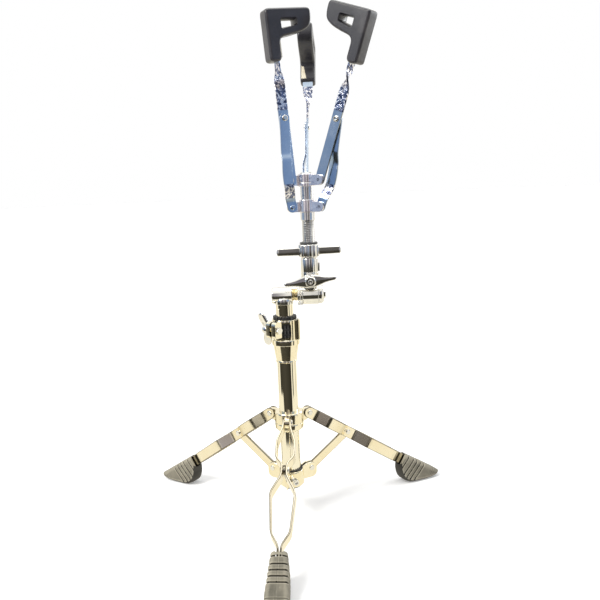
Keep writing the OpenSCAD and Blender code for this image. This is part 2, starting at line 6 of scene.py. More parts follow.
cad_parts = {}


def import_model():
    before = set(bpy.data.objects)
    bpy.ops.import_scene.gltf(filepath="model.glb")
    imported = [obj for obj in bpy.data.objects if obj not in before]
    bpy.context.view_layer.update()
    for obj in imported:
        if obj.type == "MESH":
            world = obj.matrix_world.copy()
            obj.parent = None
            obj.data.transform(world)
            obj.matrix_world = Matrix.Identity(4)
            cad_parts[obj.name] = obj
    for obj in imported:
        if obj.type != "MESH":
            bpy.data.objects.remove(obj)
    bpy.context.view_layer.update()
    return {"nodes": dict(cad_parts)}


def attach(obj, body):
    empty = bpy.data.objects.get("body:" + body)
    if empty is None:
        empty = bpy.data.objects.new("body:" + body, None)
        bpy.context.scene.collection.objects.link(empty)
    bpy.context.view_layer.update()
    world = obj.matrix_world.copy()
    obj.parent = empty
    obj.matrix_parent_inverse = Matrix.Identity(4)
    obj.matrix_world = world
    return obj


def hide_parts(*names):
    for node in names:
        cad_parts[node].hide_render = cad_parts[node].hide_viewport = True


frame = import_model()
NODES = frame["nodes"]
sin, cos, pi = math.sin, math.cos, math.pi
rad = math.radians
scene = bpy.context.scene


# ------------------------------------------------------------------ transforms, in millimetres
def T(x, y, z):
    return Matrix.Translation((x, y, z))


def RX(a):
    return Matrix.Rotation(rad(a), 4, "X")


def RY(a):
    return Matrix.Rotation(rad(a), 4, "Y")


def RZ(a):
    return Matrix.Rotation(rad(a), 4, "Z")


I4 = Matrix.Identity(4)
TO_Y = RX(-90)      # a shape built along +Z is laid along +Y
TO_NY = RX(90)      # along -Y
TO_X = RY(90)       # along +X


# ------------------------------------------------------------------ materials
def material(name, c1, c2, scale=30, detail=4, metallic=0.0, rough=(0.3, 0.5), rscale=60, bump=0.1, bscale=300,
             bdist=0.0002, stretch=(1, 1, 1), spots=None, edge=None, ramp=(0.35, 0.65), **sock):
    m = bpy.data.materials.new(name)
    m.use_nodes = True
    nt = m.node_tree
    N, L = nt.nodes, nt.links
    N.clear()
    out = N.new("ShaderNodeOutputMaterial")
    p = N.new("ShaderNodeBsdfPrincipled")
    L.new(p.outputs[0], out.inputs[0])
    tc = N.new("ShaderNodeTexCoord")
    mp = N.new("ShaderNodeMapping")
    mp.inputs["Scale"].default_value = stretch
    L.new(tc.outputs["Object"], mp.inputs["Vector"])

    def noise(s, d, r=0.55, src=mp.outputs[0]):
        n = N.new("ShaderNodeTexNoise")
        n.inputs["Scale"].default_value = s
        n.inputs["Detail"].default_value = d
        n.inputs["Roughness"].default_value = r
        L.new(src, n.inputs["Vector"])
        return n.outputs["Fac"]

    def grade(fac, stops):
        r = N.new("ShaderNodeValToRGB")
        e = r.color_ramp.elements
        while len(e) < len(stops):
            e.new(0.5)
        for k, (pos, col) in enumerate(stops):
            e[k].position = pos
            e[k].color = (*col, 1)
        L.new(fac, r.inputs[0])
        return r.outputs["Color"]

    def mix(fac, a, b):
        x = N.new("ShaderNodeMix")
        x.data_type = "RGBA"
        L.new(fac, x.inputs[0])
        for sk, v in ((x.inputs[6], a), (x.inputs[7], b)):
            if isinstance(v, tuple):
                sk.default_value = (*v, 1)
            else:
                L.new(v, sk)
        return x.outputs[2]

    col = grade(noise(scale, detail), [(ramp[0], c1), (ramp[1], c2)])
    # second colour in noise patches: random flecks on most materials, painted glints on the speckled chrome
    if spots:
        s_scale, s_lo, s_hi, s_col = spots
        f = grade(noise(s_scale, 3, 0.6), [(s_lo, (0, 0, 0)), (s_hi, (1, 1, 1))])
        col = mix(f, col, s_col)
    # painted edge light and shade: a pointiness mask tints convex edges towards the given colour, a painted highlight
    # where that colour is light and painted edge shade where it is dark (the straps)
    if edge:
        g = N.new("ShaderNodeNewGeometry")
        f = grade(g.outputs["Pointiness"], [(edge[0], (0, 0, 0)), (edge[1], (1, 1, 1))])
        k = N.new("ShaderNodeMath")
        k.operation = "MULTIPLY"
        L.new(f, k.inputs[0])
        k.inputs[1].default_value = edge[3]
        col = mix(k.outputs[0], col, edge[2])
    L.new(col, p.inputs["Base Color"])
    mr = N.new("ShaderNodeMapRange")
    L.new(noise(rscale, 5, 0.65), mr.inputs[0])
    mr.inputs[1].default_value, mr.inputs[2].default_value = 0.3, 0.7
    mr.inputs[3].default_value, mr.inputs[4].default_value = rough
    L.new(mr.outputs[0], p.inputs["Roughness"])
    b = N.new("ShaderNodeBump")
    b.inputs["Strength"].default_value = bump
    b.inputs["Distance"].default_value = bdist
    L.new(noise(bscale, 4, 0.6), b.inputs["Height"])
    L.new(b.outputs[0], p.inputs["Normal"])
    p.inputs["Metallic"].default_value = metallic
    for k, v in sock.items():
        p.inputs[k.replace("_", " ")].default_value = v
    return m


# painted reflection: the cream base tint stands in for warm light reflected by the chrome; the light edge tint is a
# painted highlight
CHROME_CREAMY_REFLECTION = material("chrome_cream_painted_reflection", (0.93, 0.83, 0.58), (0.98, 0.92, 0.74), scale=18, metallic=1.0, rough=(0.07, 0.17),
                rscale=45, bump=0.05, bscale=160, spots=(900, 0.66, 0.72, (0.62, 0.54, 0.38)),
                edge=(0.53, 0.62, (1.0, 0.98, 0.9), 0.5))
# painted reflection: the cream base tint stands in for warm light reflected by the chrome; the dark edge tint is
# painted edge shade
STRAP = material("chrome_strap", (0.93, 0.84, 0.62), (0.98, 0.92, 0.76), scale=18, metallic=1.0, rough=(0.08, 0.2),
                 rscale=45, bump=0.05, bscale=160, spots=(700, 0.66, 0.72, (0.62, 0.54, 0.38)),
                 edge=(0.505, 0.535, (0.07, 0.055, 0.035), 0.92))
# the light edge tint is a painted highlight
BRIGHT = material("chrome_bright", (0.80, 0.79, 0.76), (0.93, 0.91, 0.86), scale=25, metallic=1.0, rough=(0.05, 0.15),
                  rscale=70, bump=0.05, bscale=200, spots=(1100, 0.67, 0.73, (0.45, 0.43, 0.40)),
                  edge=(0.53, 0.62, (1.0, 0.99, 0.96), 0.5))
# painted reflection: the cream base tint stands in for warm light reflected by the chrome
TUBE = material("chrome_tube", (0.93, 0.87, 0.70), (0.98, 0.94, 0.82), scale=9, metallic=1.0, rough=(0.04, 0.11),
                rscale=30, bump=0.03, bscale=60, stretch=(1, 1, 0.12), spots=(1500, 0.69, 0.75, (0.55, 0.5, 0.4)))
# painted reflection: the blue base colour stands in for a blue surrounding reflected by the chrome; the light edge tint
# is a painted highlight
CHROME_BLUISH_REFLECTION = material("chrome_bluish_painted_reflection", (0.40, 0.50, 0.66), (0.58, 0.67, 0.80), scale=16, metallic=1.0, rough=(0.10, 0.26),
                rscale=80, bump=0.06, bscale=220, spots=(60, 0.66, 0.71, (0.80, 0.86, 0.95)),
                edge=(0.53, 0.62, (0.92, 0.95, 1.0), 0.75))
# painted reflection: navy chrome with white painted glints, standing in for the broken reflections on twisted and
# joggled sections; the light edge tint is a painted highlight
CHROME_GLINT_REFLECTION = material("chrome_glint_painted_reflection", (0.03, 0.04, 0.09), (0.30, 0.34, 0.50), scale=150, metallic=1.0, rough=(0.12, 0.3),
                 rscale=90, bump=0.9, bscale=150, bdist=0.0012, spots=(250, 0.50, 0.54, (0.97, 0.95, 0.98)),
                 edge=(0.53, 0.62, (0.95, 0.96, 1.0), 0.6))
# painted reflection: a paler copy of the blue painted-reflection chrome for the right arm, with a light painted
# highlight on the edges
CHROME_LIGHTER_BLUISH_REFLECTION = material("chrome_lighter_bluish_painted_reflection", (0.58, 0.65, 0.73), (0.76, 0.80, 0.84), scale=16, metallic=1.0, rough=(0.10, 0.26),
                rscale=80, bump=0.06, bscale=220, edge=(0.53, 0.62, (0.96, 0.95, 0.90), 0.75))
# painted reflection: the lilac base tint stands in for tinted light reflected by the chrome brackets, with small navy
# flecks; the white edge tint is a painted highlight
CHROME_MAUVE_REFLECTION = material("chrome_mauve_painted_reflection", (0.70, 0.66, 0.71), (0.95, 0.90, 0.92), scale=70, metallic=0.9, rough=(0.06, 0.2),
                 rscale=90, bump=0.06, bscale=200, spots=(260, 0.62, 0.68, (0.25, 0.27, 0.40)),
                 edge=(0.53, 0.62, (1, 1, 1), 0.6))
# the white edge tint is a painted highlight
ROD = material("steel_thread", (0.50, 0.50, 0.50), (0.80, 0.79, 0.77), scale=40, metallic=1.0, rough=(0.08, 0.22),
               rscale=90, bump=0.06, bscale=200, spots=(420, 0.64, 0.71, (0.22, 0.22, 0.24)),
               edge=(0.53, 0.62, (1, 1, 1), 0.5))
# the light edge tint is a painted highlight
BRASS = material("brass_worn", (0.60, 0.44, 0.17), (0.86, 0.74, 0.46), scale=90, metallic=1.0, rough=(0.12, 0.3),
                 rscale=120, bump=0.12, bscale=260, stretch=(0.3, 1, 1), edge=(0.53, 0.6, (1, 0.93, 0.74), 0.6))
# the grey edge tint is a painted highlight
NYLON = material("nylon_black", (0.010, 0.010, 0.011), (0.028, 0.027, 0.026), scale=80, rough=(0.32, 0.5), bump=0.12,
                 bscale=700, edge=(0.54, 0.62, (0.16, 0.16, 0.16), 0.6))
SLATE = material("rubber_slate", (0.016, 0.015, 0.019), (0.030, 0.028, 0.034), scale=24, detail=6, rough=(0.30, 0.46),
                 rscale=110, bump=0.22, bscale=950, spots=(38, 0.60, 0.78, (0.048, 0.043, 0.046)),
                 Coat_Weight=0.35, Coat_Roughness=0.12)
# the light edge tint is a painted highlight on the rib edges
OLIVE = material("rubber_olive", (0.095, 0.088, 0.066), (0.20, 0.182, 0.138), scale=42, detail=7, rough=(0.5, 0.72),
                 rscale=90, bump=0.35, bscale=700, spots=(130, 0.58, 0.74, (0.28, 0.26, 0.20)),
                 edge=(0.50, 0.55, (0.50, 0.46, 0.36), 0.75))
# painted shade: a darker rubber for groove bottoms, the underside and the socket mouth of each foot
GROOVE = material("rubber_painted_groove_shade", (0.022, 0.020, 0.016), (0.050, 0.046, 0.038), scale=60, rough=(0.6, 0.8), bump=0.3,
                  bscale=700)
CREAM_PLATE = material("steel_cream", (0.74, 0.66, 0.50), (0.86, 0.80, 0.66), scale=60, metallic=0.35, rough=(0.3, 0.45),
                       bump=0.08, bscale=400)
# painted shade: a near-black material for holes and recesses
RECESS_SHADE = material("recess_painted_shade", (0.012, 0.012, 0.012), (0.035, 0.033, 0.03), scale=200, metallic=0.6, rough=(0.4, 0.6),
                bump=0.1, bscale=500)


# ------------------------------------------------------------------ shapes
def loft(bm, rings, M=I4, cap=True, closed=False, mat=0):
    vs = [[bm.verts.new(M @ Vector(p)) for p in r] for r in rings]
    n = len(rings[0])
    fs = []
    pairs = list(zip(vs, vs[1:])) + ([(vs[-1], vs[0])] if closed else [])
    for a, b in pairs:
        for i in range(n):
            j = (i + 1) % n
            fs.append(bm.faces.new((a[i], a[j], b[j], b[i])))
    if cap and not closed:
        fs.append(bm.faces.new(vs[0][::-1]))
        fs.append(bm.faces.new(vs[-1]))
    for f in fs:
        f.material_index = mat
    return vs


def lathe(bm, prof, M=I4, seg=56, closed=False, mat=0):
    """A body turned about Z from (r, z) points. An open profile gets flat end caps."""
    rings = []
    for r, z in prof:
        r = max(r, 0.01)
        rings.append([(r * cos(2 * pi * k / seg), r * sin(2 * pi * k / seg), z) for k in range(seg)])
    return loft(bm, rings, M, closed=closed, mat=mat)


def disc(bm, r, z0, z1, M=I4, c=0.4, seg=40, mat=0):
    lathe(bm, [(r - c, z0), (r, z0 + c), (r, z1 - c), (r - c, z1)], M, seg, mat=mat)


def pipe(bm, r1, r2, z0, z1, M=I4, c=0.4, seg=56, mat=0):
    lathe(bm, [(r1, z0), (r2 - c, z0), (r2, z0 + c), (r2, z1 - c), (r2 - c, z1), (r1, z1)], M, seg, closed=True, mat=mat)


def prism(bm, pts, z0, z1, M=I4, mat=0):
    return loft(bm, [[(x, y, z0) for x, y in pts], [(x, y, z1) for x, y in pts]], M, mat=mat)


def box(bm, lo, hi, M=I4, mat=0):
    prism(bm, [(lo[0], lo[1]), (hi[0], lo[1]), (hi[0], hi[1]), (lo[0], hi[1])], lo[2], hi[2], M, mat)


def soften(path, d, n=5, closed=False):
    out = []
    m = len(path)
    for i in range(m):
        if not closed and i in (0, m - 1):
            out.append(tuple(path[i]))
            continue
        p0, p, p1 = Vector(path[i - 1]), Vector(path[i]), Vector(path[(i + 1) % m])
        di = d[i] if isinstance(d, (list, tuple)) else d
        a = p + (p0 - p).normalized() * min(di, (p0 - p).length * 0.48)
        b = p + (p1 - p).normalized() * min(di, (p1 - p).length * 0.48)
        for k in range(n + 1):
            t = k / n
            out.append(tuple(a * (1 - t) ** 2 + p * 2 * t * (1 - t) + b * t * t))
    return out


def rrect(hw, ht, r=0.5, n=3):
    r = min(r, hw * 0.9, ht * 0.9)
    pts = []
    for cx, cy, a0 in ((hw - r, ht - r, 0), (-hw + r, ht - r, 90), (-hw + r, -ht + r, 180), (hw - r, -ht + r, 270)):
        for k in range(n + 1):
            a = rad(a0 + 90 * k / n)
            pts.append((cx + r * cos(a), cy + r * sin(a)))
    return pts


def band_ring(hw, ht, r=0.5, n=3):
    """A rounded rectangle with extra points on its wide sides, so that the painted dark edge shade stays at the edges.
    """
    q = rrect(hw, ht, r, n)
    r = min(r, hw * 0.9, ht * 0.9)
    k = max(0.05, min(0.5, (hw - r) * 0.3))
    xs = (hw - r - k, hw - r - 2 * k, 0.0, -(hw - r - 2 * k), -(hw - r - k))
    m = n + 1
    return q[:m] + [(x, ht) for x in xs] + q[m:3 * m] + [(-x, -ht) for x in xs] + q[3 * m:]


def smoothstep(x):
    x = min(1.0, max(0.0, x))
    return x * x * (3 - 2 * x)


def interp(tab, x):
    for (x0, y0), (x1, y1) in zip(tab, tab[1:]):
        if x <= x1:
            return y0 + (y1 - y0) * max(0.0, (x - x0) / (x1 - x0))
    return tab[-1][1]


def finish(name, bm, body, mats, nodes=(), bevel=0.0, segs=2, angle=32, subsurf=0, cutters=(), flat=False, flat_axis=None):
    """Makes the object in metres, applies the cuts, adds the bevel and rides it on its body."""
    S = Matrix.Scale(0.001, 4)
    mats = mats if isinstance(mats, (list, tuple)) else [mats]

    def obj(nm, b):
        b.transform(S)
        bmesh.ops.remove_doubles(b, verts=b.verts, dist=1e-7)
        bmesh.ops.recalc_face_normals(b, faces=b.faces)
        me = bpy.data.meshes.new(nm)
        b.to_mesh(me)
        b.free()
        o = bpy.data.objects.new(nm, me)
        scene.collection.objects.link(o)
        return o

    o = obj(name, bm)
    for m in mats:
        o.data.materials.append(m)
    for k, (cb, op) in enumerate(cutters):
        c = obj(f"{name}_cut{k}", cb)
        for m in mats:
            c.data.materials.append(m)
        md = o.modifiers.new("cut", "BOOLEAN")
        md.operation = op
        md.solver = "EXACT"
        md.object = c
        bpy.context.view_layer.update()
        dg = bpy.context.evaluated_depsgraph_get()
        new = bpy.data.meshes.new_from_object(o.evaluated_get(dg))
        o.modifiers.clear()
        old = o.data
        o.data = new
        bpy.data.meshes.remove(old)
        cm = c.data
        bpy.data.objects.remove(c)
        bpy.data.meshes.remove(cm)
    o.data.name = name
    for p in o.data.polygons:
        p.use_smooth = not flat
    if flat_axis is not None:
        for p in o.data.polygons:
            if abs(p.normal.dot(flat_axis)) > 0.999:
                p.use_smooth = False
    if not bevel and not subsurf:
        o.data.set_sharp_from_angle(angle=rad(38))
    if bevel:
        md = o.modifiers.new("bevel", "BEVEL")
        md.width = bevel / 1000
        md.segments = segs
        md.limit_method = "ANGLE"
        md.angle_limit = rad(angle)
        md.miter_outer = "MITER_ARC" if segs > 2 else "MITER_SHARP"
        md.use_clamp_overlap = True
    if subsurf:
        md = o.modifiers.new("sub", "SUBSURF")
        md.levels = md.render_levels = subsurf
    md = o.modifiers.new("normals", "WEIGHTED_NORMAL")
    md.keep_sharp = True
    md.weight = 60
    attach(o, body)
    if nodes:
        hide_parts(*nodes)
    return o


def keep(node, mat, bevel=0.25):
    """Dresses a CAD node that is already the right shape."""
    o = NODES[node]
    if not o.material_slots:
        o.data.materials.append(mat)
    for s in o.material_slots:
        s.material = mat
    return o


B = bmesh.new


# ------------------------------------------------------------------ column
def cross(bm, M, a=2.5, w=0.45, depth=1.5):
    """A cross recess cutter; +Z of M looks out of the head."""
    for q in (45, 135):
        box(bm, (-a, -w, -depth), (a, w, 3), M @ RZ(q))


def pan_head(bm, M, r, h=1.9, mat=0):
    """A domed screw head that stands on z = 0 of M."""
    lathe(bm, [(r, 0), (r, 0.45), (r - 0.25, 1.0), (r - 0.8, h - 0.25), (r - 1.6, h)], M, 32, mat=mat)


bm = B()
lathe(bm, [(12.9, 44), (14.3, 44), (14.3, 262), (12.9, 262)], seg=72, closed=True)
finish("tube_base", bm, "base", TUBE, ["base_tube"], bevel=0.3)
bm = B()
lathe(bm, [(10.5, 41), (12.9, 41.2), (13.9, 42.4), (14.3, 43.9), (12.85, 44), (12.85, 55.5), (12, 56)], seg=48)
finish("plug", bm, "base", NYLON, ["tube_plug"], bevel=0.3)

# lower collar with its three clevises
LH = 265.7
bm = B()
lathe(bm, [(14.3, 44.2), (15.6, 44), (16.6, 44.3), (18.2, 46.0), (18.8, 47.6), (18.8, 66.6), (18.3, 67.8), (17.6, 68.6), (14.3, 68.6)],
      seg=72, closed=True)
for i in range(3):
    M = RZ(LH + 120 * i)
    for s in (-1, 1):
        y0, y1 = (2.3, 5.1) if s > 0 else (-5.1, -2.3)
        pts = [(16, 49)]
        for k in range(13):
            a = rad(-90 + 180 * k / 12)
            pts.append((32 + 8.7 * cos(a), (58 if a < 0 else 64) + 8.7 * sin(a)))
        pts += [(24, 72.6), (16, 68)]
        pts = [(x, max(49, min(z, 72.7))) for x, z in pts]
        # outline in x and z, thickness along y
        loft(bm, [[(x, y0, z) for x, z in pts], [(x, y1, z) for x, z in pts]], M)
finish("collar_lower", bm, "base", CHROME_CREAMY_REFLECTION, ["lower_collar"], bevel=0.7, segs=3)

bm = B()
seg = 96
inner, outer = [], []
rings = [[], [], [], []]
for k in range(seg):
    a = 2 * pi * k / seg
    tooth = (k % 4) < 2
    top = 71.6 if tooth else 69.9
    ro = 17.2 if tooth else 16.5
    for rr, (r, z) in zip(rings, ((14.35, 68.6), (ro, 68.6), (ro, top), (14.35, 71.6 if tooth else 70.6))):
        rr.append((r * cos(a), r * sin(a), z))
loft(bm, rings, closed=True)
finish("ring_teeth", bm, "base", NYLON, ["collar_ring"], bevel=0.25)

bm = B()
M = RZ(LH + 22) @ T(0, 0, 54) @ TO_X
disc(bm, 2.5, 14.3, 18.9, M)
lathe(bm, [(4.6, 18.8), (4.6, 22.2), (4.3, 23.0), (3.6, 23.4)], M, 40)
cb = B()
prism(cb, [(2.6 * cos(rad(60 * k)), 2.6 * sin(rad(60 * k))) for k in range(6)], 20.6, 25, M)
finish("screw_set", bm, "base", BRIGHT, ["collar_set_screw"], bevel=0.2, cutters=[(cb, "DIFFERENCE")])


def screws(name, body, items, nodes, mat=BRIGHT):
    """items: (frame whose -Y side carries the head, y of the seat, head radius, cap y, cap radius)"""
    bm, cb = B(), B()
    for M, y0, r, y1, rc in items:
        H = M @ T(0, y0, 0) @ TO_NY
        pan_head(bm, H, r)
        cross(cb, H @ T(0, 0, 1.9), a=r * 0.52, w=0.42, depth=1.1)
        disc(bm, 2.45, 0, y1 - y0, M @ T(0, y0, 0) @ TO_Y, c=0.1, seg=24)
        if rc:
            C = M @ T(0, y1, 0) @ TO_Y
            lathe(bm, [(rc, 0), (rc, 0.4), (rc - 0.5, 1.2), (rc - 1.4, 1.6)], C, 28)
    return finish(name, bm, body, [mat, RECESS_SHADE], nodes, bevel=0.12, segs=1, cutters=[(cb, "DIFFERENCE")])


def mir(s):
    return Matrix.Diagonal((1, s, 1, 1))


screws("screws_collar", "base",
       [(RZ(LH + 120 * i) @ T(32, 0, 64) @ mir(-1 if i == 1 else 1), -5.1, 4.6, 5.1, 4.2) for i in range(3)],
       ["collar_screws"])

# clamp casting
bm = B()
lathe(bm, [(14.3, 236.2), (15.2, 236), (15.7, 236.6), (15.6, 238.2), (15.2, 239), (18.7, 261.2), (18.9, 262),
           (20.0, 262.2), (20.5, 263.2), (20.4, 269.4), (19.9, 270.4), (19.3, 270.8), (19.3, 299), (18.8, 299.8), (18.2, 300),
           (15.56, 300), (15.56, 262.2), (14.3, 262)], seg=80, closed=True)
slit, window = B(), B()
box(slit, (10, -1.6, 272.5), (30, 1.6, 320), RZ(228))
win = soften([(-9.4, 274), (10, 274), (10, 295), (-9.4, 295)], 3.5, 4, closed=True)
loft(window, [[(4, y, z) for y, z in win], [(34, y, z) for y, z in win]], RZ(266))
finish("clamp_body", bm, "base", CHROME_CREAMY_REFLECTION, ["clamp_casting"], bevel=0.4, segs=2, cutters=[(slit, "DIFFERENCE"), (window, "DIFFERENCE")])
bm = B()
for s in (-1, 1):
    y0, y1 = (1.6, 9.2) if s > 0 else (-9.2, -1.6)
    lug = soften([(17, 275), (31, 275), (31, 299), (17, 299)], [1, 5, 5, 1], 4, closed=True)
    loft(bm, [[(x, y0, z) for x, z in lug], [(x, y1, z) for x, z in lug]], RZ(228))
post = soften([(16.5, -4.6), (21, -4.6), (24.2, -1.4), (24.2, 1.4), (21, 4.6), (16.5, 4.6)], 1.6, 3, closed=True)
prism(bm, post, 270.4, 300.0, RZ(-28))
finish("clamp_lugs", bm, "base", CHROME_CREAMY_REFLECTION, bevel=0.7, segs=3)

bm = B()
M = RZ(-28) @ T(20.2, 0, 0)
disc(bm, 1.6, 288, 300.4, M, c=0.1, seg=20)
lathe(bm, [(2.7, 299.9), (2.7, 300.6), (2.1, 301.3), (1.0, 301.4)], M, 24)
finish("pin_hinge", bm, "base", BRIGHT, ["clamp_hinge_pin"])

# plastic bush: castellated flange and ribs in the window
bm = B()
seg = 108
rings = [[] for _ in range(6)]
for k in range(seg):
    a = 2 * pi * k / seg + rad(6)
    notch = (k % 6) in (2, 3)
    r2 = 15.9 if notch else 17.2
    top = 301.4 if notch else 304.6
    for rr, (r, z) in zip(rings, ((12.62, 262.2), (15.5, 262.2), (15.5, 300.05), (r2, 300.05), (r2, top), (12.62, 304.6 if not notch else 303.2))):
        rr.append((r * cos(a), r * sin(a), z))
loft(bm, rings, closed=True)
for z in (277.5, 285, 292.5):
    arc = [(15.2 * cos(rad(a)), 15.2 * sin(rad(a))) for a in range(-38, 39, 4)]
    arc2 = [(17.3 * cos(rad(a)), 17.3 * sin(rad(a))) for a in range(38, -39, -4)]
    prism(bm, arc + arc2, z, z + 2.0, RZ(266))
for a0 in (-22, 4, 20):
    box(bm, (15.2, -0.9, 274), (17.1, 0.9, 295), RZ(266 + a0))
finish("bush", bm, "base", NYLON, ["clamp_bush"], bevel=0.3)

bm = B()
M = RZ(228) @ T(24.6, 0, 287)
lathe(bm, [(2.6, -20.5), (3.0, -20.0), (3.0, 9.4)], M @ TO_Y, 28)
hexa = [(5.6 * cos(rad(60 * k)), 5.6 * sin(rad(60 * k))) for k in range(6)]
prism(bm, hexa, 9.2, 13.0, M @ TO_Y)
finish("bolt_clamp", bm, "base", BRIGHT, ["clamp_bolt"], bevel=0.35)


def petal(bm, M, r0, reach, zc, zh, tip_z, th, mat=0):
    """One blade of a wing nut: runs along +X of M, stands along Z, thin along Y, with a thumb hollow and fine flutes."""
    n, rings = 26, []
    for k in range(n + 1):
        f = k / n
        x = r0 + (reach - r0) * f
        zc_f = zc + (tip_z - zc) * smoothstep(f * 1.15)
        hh = zh * (0.62 + 0.55 * sin(pi * min(1, f * 0.92 + 0.04))) * math.sqrt(max(0.0, 1 - max(0, (f - 0.80) / 0.20) ** 2) + 0.004)
        tt = th / 2 * (1.0 + 0.25 * (1 - f)) * math.sqrt(max(0.0, 1 - max(0, (f - 0.84) / 0.16) ** 2) + 0.01)
        ring = []
        for j in range(28):
            a = 2 * pi * j / 28
            ca, sa = cos(a), sin(a)
            z = zc_f + hh * math.copysign(abs(ca) ** 0.75, ca)
            flute = 1 - 0.16 * (0.5 + 0.5 * cos(5 * pi * math.copysign(abs(ca) ** 0.75, ca))) * min(1, f * 3)
            y = tt * math.copysign(abs(sa) ** 0.62, sa) * flute
            ring.append((x, y, z))
        rings.append(ring)
    loft(bm, rings, M, mat=mat)


def wing_nut(bm, M, boss_r, boss_h, reach, tip_h, th, root_h, bore):
    lathe(bm, [(bore, 0.3), (boss_r - 0.6, 0), (boss_r, 0.8), (boss_r, boss_h * 0.62), (boss_r * 0.93, boss_h * 0.8),
               (boss_r * 0.80, boss_h * 0.97), (boss_r * 0.72, boss_h), (bore + 0.3, boss_h), (bore, boss_h - 0.4)], M, 40,
          closed=True)
    for s in (0, 180):
        petal(bm, M @ RZ(s), boss_r * 0.55, reach, boss_h * 0.42, tip_h * 0.50, root_h * 0.98, th)


bm = B()
wing_nut(bm, RZ(228) @ T(24.6, -9.6, 287) @ TO_NY @ RZ(76), 6.8, 9.5, 26, 13, 4.4, 8, 3.3)
finish("wingnut_clamp", bm, "clamp_nut", BRIGHT, ["clamp_wing_nut"])

bm = B()
lathe(bm, [(11, 112), (12.5, 112), (12.5, 325.8), (11, 325.8)], seg=72, closed=True)
finish("tube_height", bm, "column", TUBE, ["height_tube"], bevel=0.3)

# ------------------------------------------------------------------ tripod
DROP = math.degrees(math.asin(44 / 79))
bm = B()
lathe(bm, [(14.42, 132.3), (17.6, 132), (18.8, 132.5), (21.0, 134.9), (21.3, 136), (21.3, 142.2), (20.8, 142.8), (20.8, 143.8),
           (21.3, 144.4), (21.3, 157.6), (20.8, 158.9), (20, 160), (14.42, 160)], seg=80, closed=True)
finish("hub", bm, "hub", CHROME_CREAMY_REFLECTION, ["leg_hub"], bevel=0.35, segs=2)
bm = B()
for i in range(3):
    M = RZ(LH + 120 * i)
    pts = [(18, 138)]
    for k in range(11):
        a = rad(-70 + 160 * k / 10)
        pts.append((32 + 7.6 * cos(a), 152 + 7.6 * sin(a)))
    pts += [(18, 159.2)]
    loft(bm, [[(x, -3.5, z) for x, z in pts], [(x, 3.5, z) for x, z in pts]], M)
lathe(bm, [(8.4, 17), (8.2, 26.4), (7.6, 27.3), (6.8, 27.5)], RZ(LH + 180) @ T(0, 0, 147) @ TO_X, 40)
finish("hub_ears", bm, "hub", CHROME_CREAMY_REFLECTION, bevel=0.7, segs=3)

bm = B()
M = RZ(LH + 180) @ T(0, 0, 147)
lathe(bm, [(2.4, 14.6), (3.2, 15.6), (3.2, 29)], M @ TO_X, 28)
wing_nut(bm, M @ T(27.8, 0, 0) @ TO_X @ RZ(84), 7, 9.5, 24, 12, 4.4, 8, 0.4)
finish("wingbolt_hub", bm, "hub_bolt", BRIGHT, ["hub_wing_bolt"])

EAR, GAP, ST = 3.5, 0.3, 2.5
OP, OW = EAR + GAP + ST / 2, 2.3 + ST / 2
LEG = [(0, OP), (12, OP), (36, 12.5), (62, 12.5), (73, OW), (91, OW), (117, 16.7), (174, 12.3), (191.5, 2.0), (206, 2.0)]
LEGS = (("front", 0), ("right", 1), ("left", 2))


def leg_frame(i):
    return RZ(LH + 120 * i) @ T(32, 0, 152) @ RY(DROP)


def strap(bm, path, half_w, half_t, M, end_r, mat=lambda s: 0):
    """A strap that runs along X of M, offset along Y, standing along Z; its start is rounded about x = 0."""
    pts = [(-end_r * cos(rad(a)), path[0][1]) for a in (7, 20, 35, 50, 65, 80)] + soften(path, 5.0, 5)
    rings, tags = [], []
    for k, p in enumerate(pts):
        a = Vector(pts[max(k - 1, 0)])
        b = Vector(pts[min(k + 1, len(pts) - 1)])
        d = (b - a).normalized() if (b - a).length > 1e-6 else Vector((1, 0))
        nrm = Vector((-d.y, d.x))
        hw = half_w if p[0] >= 0 else math.sqrt(max(end_r ** 2 - p[0] ** 2, 0.05))
        ring = []
        for w, t in band_ring(min(hw, half_w), half_t, 0.6, 3):
            q = Vector(p) + nrm * t
            ring.append((q.x, q.y, w))
        rings.append(ring)
    loft(bm, rings, M)


for nm, i in LEGS:
    M = leg_frame(i)
    for s, ab in ((1, "a"), (-1, "b")):
        bm = B()
        strap(bm, LEG, 8.5, ST / 2, M @ mir(s), 8.5)
        finish(f"leg_{nm}_{ab}", bm, f"leg_{nm}", STRAP, [f"leg_{nm}_strap_{ab}"])
    m1 = -1 if i == 1 else 1
    screws(f"screws_leg_{nm}", f"leg_{nm}",
           [(M @ mir(m1), -OP - ST / 2, 4.6, OP + ST / 2, 4.2), (M @ T(79, 0, 0) @ mir(m1), -OW - ST / 2, 4.6, OW + ST / 2, 4.2)],
           [f"leg_{nm}_screws"])
    # brace bar with rounded ends
    bm = B()
    rings = []
    xs = [-6.5 * cos(rad(a)) for a in (8, 22, 38, 54, 70, 84)] + [0, 20, 40, 60, 79] + [79 + 6.5 * cos(rad(a)) for a in (84, 70, 54, 38, 22, 8)]
    for x in xs:
        hw = 6.5 if 0 <= x <= 79 else math.sqrt(max(6.5 ** 2 - (x if x < 0 else x - 79) ** 2, 0.05))
        rings.append([(x, t, w) for w, t in band_ring(hw, 2.0, 0.7, 3)])
    loft(bm, rings, RZ(LH + 120 * i) @ T(32, 0, 64) @ RY(-DROP))
    finish(f"brace_bar_{nm}", bm, f"brace_{nm}", STRAP, [f"brace_{nm}"])

